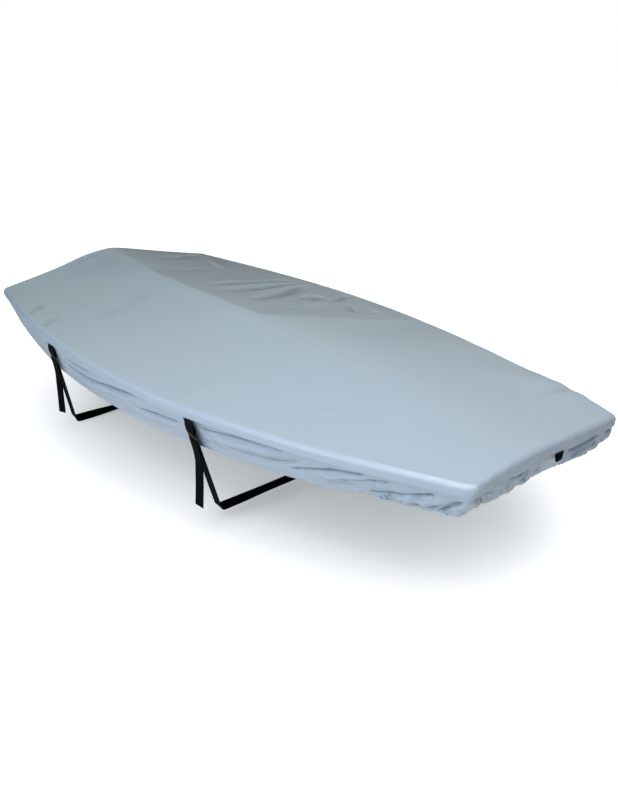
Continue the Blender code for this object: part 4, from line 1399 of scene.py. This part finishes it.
@dataclass(frozen=True)
class Ribbon:
    """A length of webbing laid along a route."""

    width: float
    thickness: float = 0.0016
    step: float = 0.004
    across: int = 6
    edge: float = 0.00045
    edge_segments: int = 2
    edge_angle: float = 60.0
    smooth_angle: float = 50.0
    cut_reach: float = 0.032

    def build(
        self,
        name: str,
        route: Sequence[Vector],
        face: Callable[[Vector], Vector],
        sewn: int | None = None,
        flare: Callable[[float], float] | None = None,
    ) -> Piece:
        """Make the ribbon.

        Args:
            name: Name of the piece.
            route: Points along its middle.
            face: For a point, the way the width lies.
            sewn: The end (0 or -1) that is cut along the seam instead of square.
            flare: For a distance along the route, how much wider the webbing is.

        Returns:
            The ribbon with its thickness and softened edges.
        """
        spots = resampled(route, self.step)
        halves: list[Vector] = []
        travelled = 0.0
        for number, spot in enumerate(spots):
            before, after = spots[max(number - 1, 0)], spots[min(number + 1, len(spots) - 1)]
            tangent = (after - before).normalized()
            side = face(spot) - tangent * face(spot).dot(tangent)
            travelled += (spot - spots[max(number - 1, 0)]).length
            wide = self.width * (flare(travelled) if flare else 1.0)
            halves.append(side.normalized() * (wide / 2))
        lengths = np.concatenate([[0.0], np.cumsum([(b - a).length for a, b in zip(spots[:-1], spots[1:])])])
        if sewn is not None:
            for number, half in enumerate(halves):
                slant = 1 - abs(lengths[number] - lengths[sewn]) / self.cut_reach
                if slant > 0:
                    halves[number] = half.lerp(FORWARD * (half.length_squared / FORWARD.dot(half)), slant)
        part = np.linspace(-1.0, 1.0, self.across + 1)
        points = np.array(spots)[:, None] + np.array(halves)[:, None] * part[None, :, None]
        flat = np.stack(np.broadcast_arrays(lengths[:, None], part[None] * self.width / 2), axis=-1)
        piece = mapped_grid(name, points, flat)
        apply_modifier(piece, "SOLIDIFY", thickness=self.thickness, offset=0.0, use_even_offset=True)
        apply_modifier(
            piece, "BEVEL", width=self.edge, segments=self.edge_segments, limit_method="ANGLE",
            angle_limit=math.radians(self.edge_angle),
        )
        shade(piece, self.smooth_angle)
        return piece


@dataclass(frozen=True)
class Buckle:
    """A flat two-slot buckle with rounded edges."""

    length: float = 0.0440
    width: float = 0.0505
    thickness: float = 0.0024
    top: float = 0.0480
    off: float = 0.0040
    slot_width: float = 0.0454
    slot_height: float = 0.0080
    tab_slot: float = 0.0585
    strap_slot: float = 0.0785
    corner: float = 0.0035
    corner_segments: int = 5
    edge: float = 0.0008
    edge_segments: int = 3
    edge_angle: float = 50.0
    smooth_angle: float = 35.0

    def build(self, name: str, hang: Hang) -> Piece:
        """Cut the plate's slots, round its corners, thicken it and set it on its line."""
        deselect_all()
        half_slot = self.slot_height / 2
        columns = (-self.width / 2, -self.slot_width / 2, self.slot_width / 2, self.width / 2)
        rows = (
            self.top, self.tab_slot - half_slot, self.tab_slot + half_slot,
            self.strap_slot - half_slot, self.strap_slot + half_slot, self.top + self.length,
        )
        across, down = len(columns) - 1, len(rows) - 1
        bpy.ops.mesh.primitive_grid_add(x_subdivisions=across, y_subdivisions=down, size=1.0)
        piece = bpy.context.object
        piece.name = piece.data.name = name
        for vertex in piece.data.vertices:
            number, row = round((vertex.co.x + 0.5) * across), round((vertex.co.y + 0.5) * down)
            vertex.co = Vector((columns[number], rows[row], 0.0))

        def in_slot(face: Any) -> bool:
            """Whether a face lies in a slot."""
            near = any(abs(face.center.y - slot) < half_slot for slot in (self.tab_slot, self.strap_slot))
            return near and abs(face.center.x) < self.slot_width / 2

        def at_corner(vertex: Any) -> bool:
            """Whether a vertex is one of the plate's corners."""
            at_end = min(abs(vertex.co.y - rows[0]), abs(vertex.co.y - rows[-1])) < NEAR
            return at_end and abs(abs(vertex.co.x) - self.width / 2) < NEAR

        select_elements(piece, "FACE", in_slot)
        bpy.ops.mesh.delete(type="FACE")
        select_elements(piece, "VERT", at_corner)
        bpy.ops.mesh.bevel(offset=self.corner, segments=self.corner_segments, affect="VERTICES")
        bpy.ops.object.mode_set(mode="OBJECT")
        apply_modifier(piece, "SOLIDIFY", thickness=self.thickness, offset=0.0)
        apply_modifier(
            piece, "BEVEL", width=self.edge, segments=self.edge_segments, limit_method="ANGLE",
            angle_limit=math.radians(self.edge_angle),
        )
        frame = Matrix((hang.across, hang.down, hang.out)).transposed()
        middle = hang.start + hang.out * self.off
        for vertex in piece.data.vertices:
            vertex.co = middle + frame @ vertex.co
        edit_all(piece, bpy.ops.mesh.normals_make_consistent, inside=False)
        shade(piece, self.smooth_angle)
        return piece


@dataclass(frozen=True)
class StrapLine:
    """One strap with its tab and buckle: where it leaves the seam and turns under the hull."""

    name: str
    seam_x: float
    chine_x: float
    chine_half: float
    chine_depth: float
    tail: float
    chine_turn: float = 0.014
    from_seam: float = 0.0015
    clearance: float = 0.0006
    tab: Ribbon = Ribbon(0.044, step=0.003)
    strap: Ribbon = Ribbon(0.040)
    buckle: Buckle = Buckle()
    tab_profile: Route = (
        (0.0000, 0.0030), (0.0150, 0.0032), (0.0350, 0.0060), (0.0500, 0.0068), (0.0570, 0.0062),
        (0.0592, 0.0040), (0.0570, 0.0016), (0.0500, 0.0009), (0.0350, 0.0009), (0.0140, 0.0009),
    )
    strap_profile: Route = (
        (0.1300, 0.0009), (0.1050, 0.0009), (0.0880, 0.0009), (0.0800, 0.0014), (0.0772, 0.0040),
        (0.0800, 0.0066), (0.0890, 0.0072), (0.1000, 0.0080),
    )
    port_profile: Route = (
        (0.1700, 0.0009), (0.1100, 0.0009), (0.0500, 0.0009), (0.0150, 0.0024), (0.0000, 0.0031),
    )
    tail_hang: Route = ((1.0, 0.018), (0.75, 0.035), (0.5, 0.047), (0.33, 0.050), (0.14, 0.028))
    turn_from: float = 0.5
    turn_reach: float = 0.4
    stitches: Stitching = Stitching(0.0032, 0.0042, 0.0007)
    stitch_rows: tuple[float, ...] = (0.006, 0.012)
    tab_stitching: Pair = (0.037, 0.0039)
    port_stitching: Pair = (0.034, 0.0037)
    row_points: int = 12

    def seam_spot(self, side: int) -> Vector:
        """Point on the skirt's outer face, just under the seam."""
        part = np.array([self.seam_x / RAIL.core_end])
        base = np.stack([RAIL.core_end * part, side * RAIL.core_half(RAIL.core_end * part)], axis=-1)
        heading = RAIL.heading(RAIL.core_end * part, side, 1, 0.0)
        start = base + heading * TOP.roll_start
        top = TOP.height(start[:, 0], start[:, 1]) - TOP.drop(start[:, 0])
        out = base + heading * (RAIL.edge_width - TOP.cloth - SEAM_GAP + self.clearance)
        return Vector(in_part(out[:, 0], out[:, 1], top - self.from_seam)[0])

    def chine_spot(self, side: int, part: float) -> Vector:
        """Point of the turn under the hull: 0 on the hull's side, 1 on its bottom."""
        turn = math.pi / 2 * part
        height = float(RAIL.height(self.chine_x)) - self.chine_depth + self.chine_turn * (1 - math.sin(turn))
        out = side * (self.chine_half - self.chine_turn * (1 - math.cos(turn)))
        return Vector((self.chine_x, out, height + HULL_TO_PART))

    def hang(self, side: int) -> Hang:
        """The line of the tab or sewn end on one side."""
        return Hang.between(self.seam_spot(side), self.chine_spot(side, 0.0), side)

    def route(self) -> list[Vector]:
        """Middle of the strap: free tail, round the buckle's bar, under the hull, up to port."""
        hang, port_hang = self.hang(-1), self.hang(1)
        front = [hang.at(turn) for turn in reversed(self.strap_profile)]
        drift = Vector((hang.down.x, hang.down.y, 0.0)) / -hang.down.z
        tail = [
            front[0] + drift * followed - Vector((0.0, 0.0, part * self.tail))
            for part, followed in self.tail_hang
        ]
        bottom_height = float(RAIL.height(self.chine_x)) - self.chine_depth + HULL_TO_PART
        starboard = [self.chine_spot(-1, part) for part in (0.0, 0.5, 1.0)]
        bottom = [Vector((self.chine_x, part * self.chine_half, bottom_height)) for part in (-0.5, 0.0, 0.5)]
        port = [self.chine_spot(1, part) for part in (1.0, 0.5, 0.0)]
        return tail + front + starboard + bottom + port + [port_hang.at(turn) for turn in self.port_profile]

    def face(self, point: Vector) -> Vector:
        """The way the strap's width lies at a point."""
        side = -1 if point.y < 0 else 1
        part = float(ease((abs(point.y) / self.chine_half - self.turn_from) / self.turn_reach))
        return FORWARD.lerp(self.hang(side).across, part)

    def _bar_stitches(self, hang: Hang, width: float, off: float) -> list[tuple[Array, Array]]:
        """Rows of stitches across webbing, of a width and at a distance off the skirt."""
        part = np.linspace(-0.5, 0.5, self.row_points)[:, None] * width
        outward = np.tile(np.array(hang.out), (self.row_points, 1))
        return [
            (np.array(hang.at((down, off))) + np.array(hang.across) * part, outward)
            for down in self.stitch_rows
        ]

    def build(self, webbing: Material, plastic: Material, thread: Material) -> None:
        """Make the tab, buckle and strap with their stitches."""
        hang, port_hang = self.hang(-1), self.hang(1)
        tab = self.tab.build(
            f"tab_{self.name}_webbing", [hang.at(turn) for turn in self.tab_profile],
            lambda _: hang.across, sewn=0,
        )
        finish_piece(tab, webbing, "webbing", f"tab_{self.name}")
        buckle = self.buckle.build(f"buckle_{self.name}_plate", hang)
        finish_piece(buckle, plastic, "buckle_plastic", f"buckle_{self.name}")
        strap = self.strap.build(f"strap_{self.name}_webbing", self.route(), self.face, sewn=-1)
        finish_piece(strap, webbing, "webbing", f"strap_{self.name}")
        rows = (
            self._bar_stitches(hang, *self.tab_stitching)
            + self._bar_stitches(port_hang, *self.port_stitching)
        )
        stitches = self.stitches.sew(f"strap_{self.name}_stitches", rows)
        finish_piece(stitches, thread, "webbing")


@dataclass(frozen=True)
class BowTab:
    """A short loop of webbing under the bow's seam."""

    y: float = 0.029
    webbing: Ribbon = Ribbon(0.034, step=0.002)
    from_seam: float = 0.0015
    clearance: float = 0.0006
    drawn_in: float = 0.42
    profile: Route = (
        (0.0000, 0.0036), (0.0140, 0.0046), (0.0216, 0.0046), (0.0234, 0.0038), (0.0240, 0.0027),
        (0.0234, 0.0016), (0.0216, 0.0009), (0.0140, 0.0009), (0.0045, 0.0009),
    )

    def flare(self, travelled: float) -> float:
        """Width of the webbing against its top, which narrows to the foot of the loop and back."""
        foot = max(down for down, _ in self.profile)
        return 1 - self.drawn_in * max(0.0, 1 - abs(travelled - foot) / foot)

    def build(self, webbing: Material) -> None:
        """Make the loop."""
        start_x = RAIL.core_end + TOP.roll_start
        height = float(TOP.height(start_x, self.y) - TOP.drop(np.array(start_x)))
        out_x = RAIL.core_end + RAIL.edge_width - TOP.cloth - SEAM_GAP + self.clearance
        top = Vector((out_x, self.y, height - self.from_seam + HULL_TO_PART))
        route = [top + Vector((off, 0.0, -down)) for down, off in self.profile]
        piece = self.webbing.build("bow_tab_webbing", route, lambda _: TO_PORT, flare=self.flare)
        finish_piece(piece, webbing, "webbing", "bow_tab")


@dataclass(frozen=True)
class Fittings:
    """The straps, tabs, buckles and the bow's loop."""

    lines: tuple[StrapLine, ...] = (
        StrapLine("mid", 0.360, 0.308, 0.413, 0.405, 0.215),
        StrapLine("aft", -0.465, -0.655, 0.467, 0.430, 0.205),
    )
    bow_tab: BowTab = BowTab()

    def build(self, webbing: Material, plastic: Material, thread: Material) -> None:
        """Make them all."""
        for line in self.lines:
            line.build(webbing, plastic, thread)
        self.bow_tab.build(webbing)


# --- Studio --------------------------------------------------------------------------------------


@dataclass(frozen=True)
class Wall:
    """Soft light from one side of the studio: its way, its power and its colours by height."""

    way: Place
    power: float
    bands: tuple[tuple[float, Colour], ...]
    sharpness: float = 2.0

    def light(self, nodes: Nodes) -> Socket:
        """Make the light, which is even all round where its way is straight up.

        Args:
            nodes: The world's nodes.

        Returns:
            The light's shader.
        """
        place = nodes.place("Generated")
        ramp = nodes.add("ValToRGB", {"Fac": nodes.add("SeparateXYZ", {0: place}).outputs["Z"]})
        stops = ramp.color_ramp.elements
        while len(stops) < len(self.bands):
            stops.new(0.5)
        for stop, (position, colour) in zip(stops, self.bands):
            stop.position = position
            stop.color = (*colour, 1.0)
        strength: Socket | float = self.power
        if self.way[2] <= 0.0:
            level = nodes.add("VectorMath", {0: place, 1: (1.0, 1.0, 0.0)}, operation="MULTIPLY").outputs[0]
            unit = nodes.add("VectorMath", {0: level}, operation="NORMALIZE").outputs[0]
            strength = nodes.add(
                "VectorMath", {0: unit, 1: self.way}, operation="DOT_PRODUCT"
            ).outputs["Value"]
            for operation, number in (("MAXIMUM", 0.0), ("POWER", self.sharpness), ("MULTIPLY", self.power)):
                strength = nodes.combine(operation, strength, number)
        return nodes.add("Background", {"Color": ramp.outputs["Color"], "Strength": strength}).outputs[0]


@dataclass(frozen=True)
class Lamp:
    """A soft square area light."""

    name: str
    place: Place
    aim: Place
    size: float
    power: float
    colour: Colour = (0.98, 0.99, 1.0)

    def hang(self) -> None:
        """Hang the lamp at its place and turn it to what it is aimed at."""
        deselect_all()
        bpy.ops.object.light_add(type="AREA", location=self.place)
        lamp = bpy.context.object
        lamp.name = self.name
        lamp.data.shape = "SQUARE"
        lamp.data.size = self.size
        lamp.data.energy = self.power
        lamp.data.color = self.colour
        way = Vector(self.aim) - Vector(self.place)
        lamp.rotation_euler = way.to_track_quat("-Z", "Y").to_euler()


@dataclass(frozen=True)
class Studio:
    """A pale floor, soft light and the camera."""

    floor_size: float = 80.0
    floor_gap: float = 0.0006
    floor_colour: tuple[float, float, float, float] = (0.86, 0.86, 0.86, 1.0)
    floor_roughness: float = 0.9
    floor_shine: float = 0.1
    glow_from: float = 0.7
    glow_to: float = 2.0
    near_glow: float = 0.25
    glow: float = 1.0
    dome: Wall = Wall(
        (0.0, 0.0, 1.0), 0.19,
        (
            (0.00, (0.60, 0.60, 0.60)), (0.05, (0.60, 0.60, 0.60)), (0.10, (0.80, 0.80, 0.80)),
            (0.16, (1.0, 1.0, 1.0)),
        ),
    )
    walls: tuple[Wall, ...] = (
        Wall(
            (0.0, -1.0, 0.0), 3.80,
            (
                (0.00, (0.02, 0.05, 0.09)), (0.05, (0.06, 0.16, 0.27)), (0.10, (0.20, 0.60, 1.00)),
                (0.16, (0.24, 0.60, 1.00)), (0.24, (0.06, 0.14, 0.22)), (0.36, (0.0, 0.0, 0.0)),
            ),
        ),
        Wall(
            (0.0, 1.0, 0.0), 1.00,
            ((0.16, (0.0, 0.0, 0.0)), (0.24, (1.0, 0.90, 0.60)), (0.36, (0.0, 0.0, 0.0))),
        ),
        Wall(
            (-1.0, 0.0, 0.0), 1.00,
            ((0.24, (0.0, 0.0, 0.0)), (0.36, (0.70, 1.0, 0.70)), (0.55, (0.0, 0.0, 0.0))),
        ),
    )
    lamps: tuple[Lamp, ...] = (
        Lamp("over_bow", (1.15, -0.45, 1.75), (0.85, 0.0, 0.0), 2.2, 57.0),
        Lamp("starboard", (0.2, -2.4, 1.2), (-0.1, 0.0, 0.0), 2.4, 26.0),
        Lamp("quarter", (1.4, -2.7, 1.6), (0.3, 0.0, 0.0), 2.8, 34.0),
    )
    eye: Place = (1.997, -1.476, 0.8355)
    ahead: Place = (-0.6901, 0.5867, -0.4237)
    up: Place = (-0.3305, 0.2654, 0.9057)
    lens: float = 33.22
    sensor: float = 36.0
    sight: float = 500.0

    def floor(self, height: float) -> None:
        """Lay a plain floor under the part, which glows white far from it."""
        deselect_all()
        bpy.ops.mesh.primitive_plane_add(size=self.floor_size)
        plane = bpy.context.object
        plane.name = "floor"
        for vertex in plane.data.vertices:
            vertex.co.z = height - self.floor_gap
        material, nodes, shader = Finish("floor_paint").start()
        glow = nodes.add(
            "MapRange",
            {
                "Value": nodes.add("VectorMath", {0: nodes.place()}, operation="LENGTH").outputs["Value"],
                "From Min": self.glow_from,
                "From Max": self.glow_to,
                "To Min": self.near_glow,
                "To Max": self.glow,
            },
            interpolation_type="SMOOTHSTEP",
        )
        nodes.fill(
            shader,
            {
                "Base Color": self.floor_colour,
                "Roughness": self.floor_roughness,
                "Specular IOR Level": self.floor_shine,
                "Emission Color": WHITE,
                "Emission Strength": nodes.combine("MULTIPLY", glow.outputs["Result"], nodes.seen()),
            },
        )
        plane.data.materials.append(material)
        plane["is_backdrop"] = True

    def sky(self) -> None:
        """Light the studio: a dim dome, a bright low wall to starboard, faint ones to port and astern."""
        world = bpy.data.worlds.new("studio")
        bpy.context.scene.world = world
        world.use_nodes = True
        world.node_tree.nodes.clear()
        nodes = Nodes(world.node_tree)
        light = self.dome.light(nodes)
        for wall in self.walls:
            light = nodes.add("AddShader", {0: light, 1: wall.light(nodes)}).outputs[0]
        plain = nodes.add("Background", {"Color": WHITE, "Strength": 1.0}).outputs[0]
        mix = nodes.add("MixShader", {0: nodes.seen(), 1: light, 2: plain}).outputs[0]
        nodes.add("OutputWorld", {"Surface": mix})

    def camera(self) -> None:
        """Set the camera at its place."""
        ahead = Vector(self.ahead).normalized()
        up = Vector(self.up)
        up = (up - ahead * up.dot(ahead)).normalized()
        turn = Matrix((ahead.cross(up), up, -ahead)).transposed()
        data = bpy.data.cameras.new("camera")
        data.lens = self.lens
        data.sensor_width = self.sensor
        data.sensor_fit = "AUTO"
        data.clip_end = self.sight
        camera = bpy.data.objects.new("camera", data)
        camera.matrix_world = Matrix.Translation(Vector(self.eye)) @ turn.to_4x4()
        bpy.context.scene.collection.objects.link(camera)
        bpy.context.scene.camera = camera

    def build(self, lowest: float) -> None:
        """Set up the floor, light and camera."""
        self.floor(lowest)
        self.sky()
        for lamp in self.lamps:
            lamp.hang()
        self.camera()
        bpy.context.scene.view_settings.view_transform = "Standard"


def main() -> None:
    """Load the part, dress it and light it."""
    logging.basicConfig(level=logging.INFO, format="%(name)s %(message)s")
    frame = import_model()
    cad_low, cad_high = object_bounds()
    cloth, webbing = CoatedCloth().build(), Webbing().build()
    plastic, thread = MouldedPlastic().build(), Thread().build()
    # the second colour is the shade painted into the twist's grooves
    black_thread = Thread("black_thread_finish", (0.014, 0.015, 0.016), (0.006, 0.006, 0.007)).build()
    Studio().build(cad_low[2])
    TopPanel().build(cloth, thread)
    Skirt().build(cloth, thread)
    Fittings().build(webbing, plastic, black_thread)


if __name__ == "__main__":
    main()
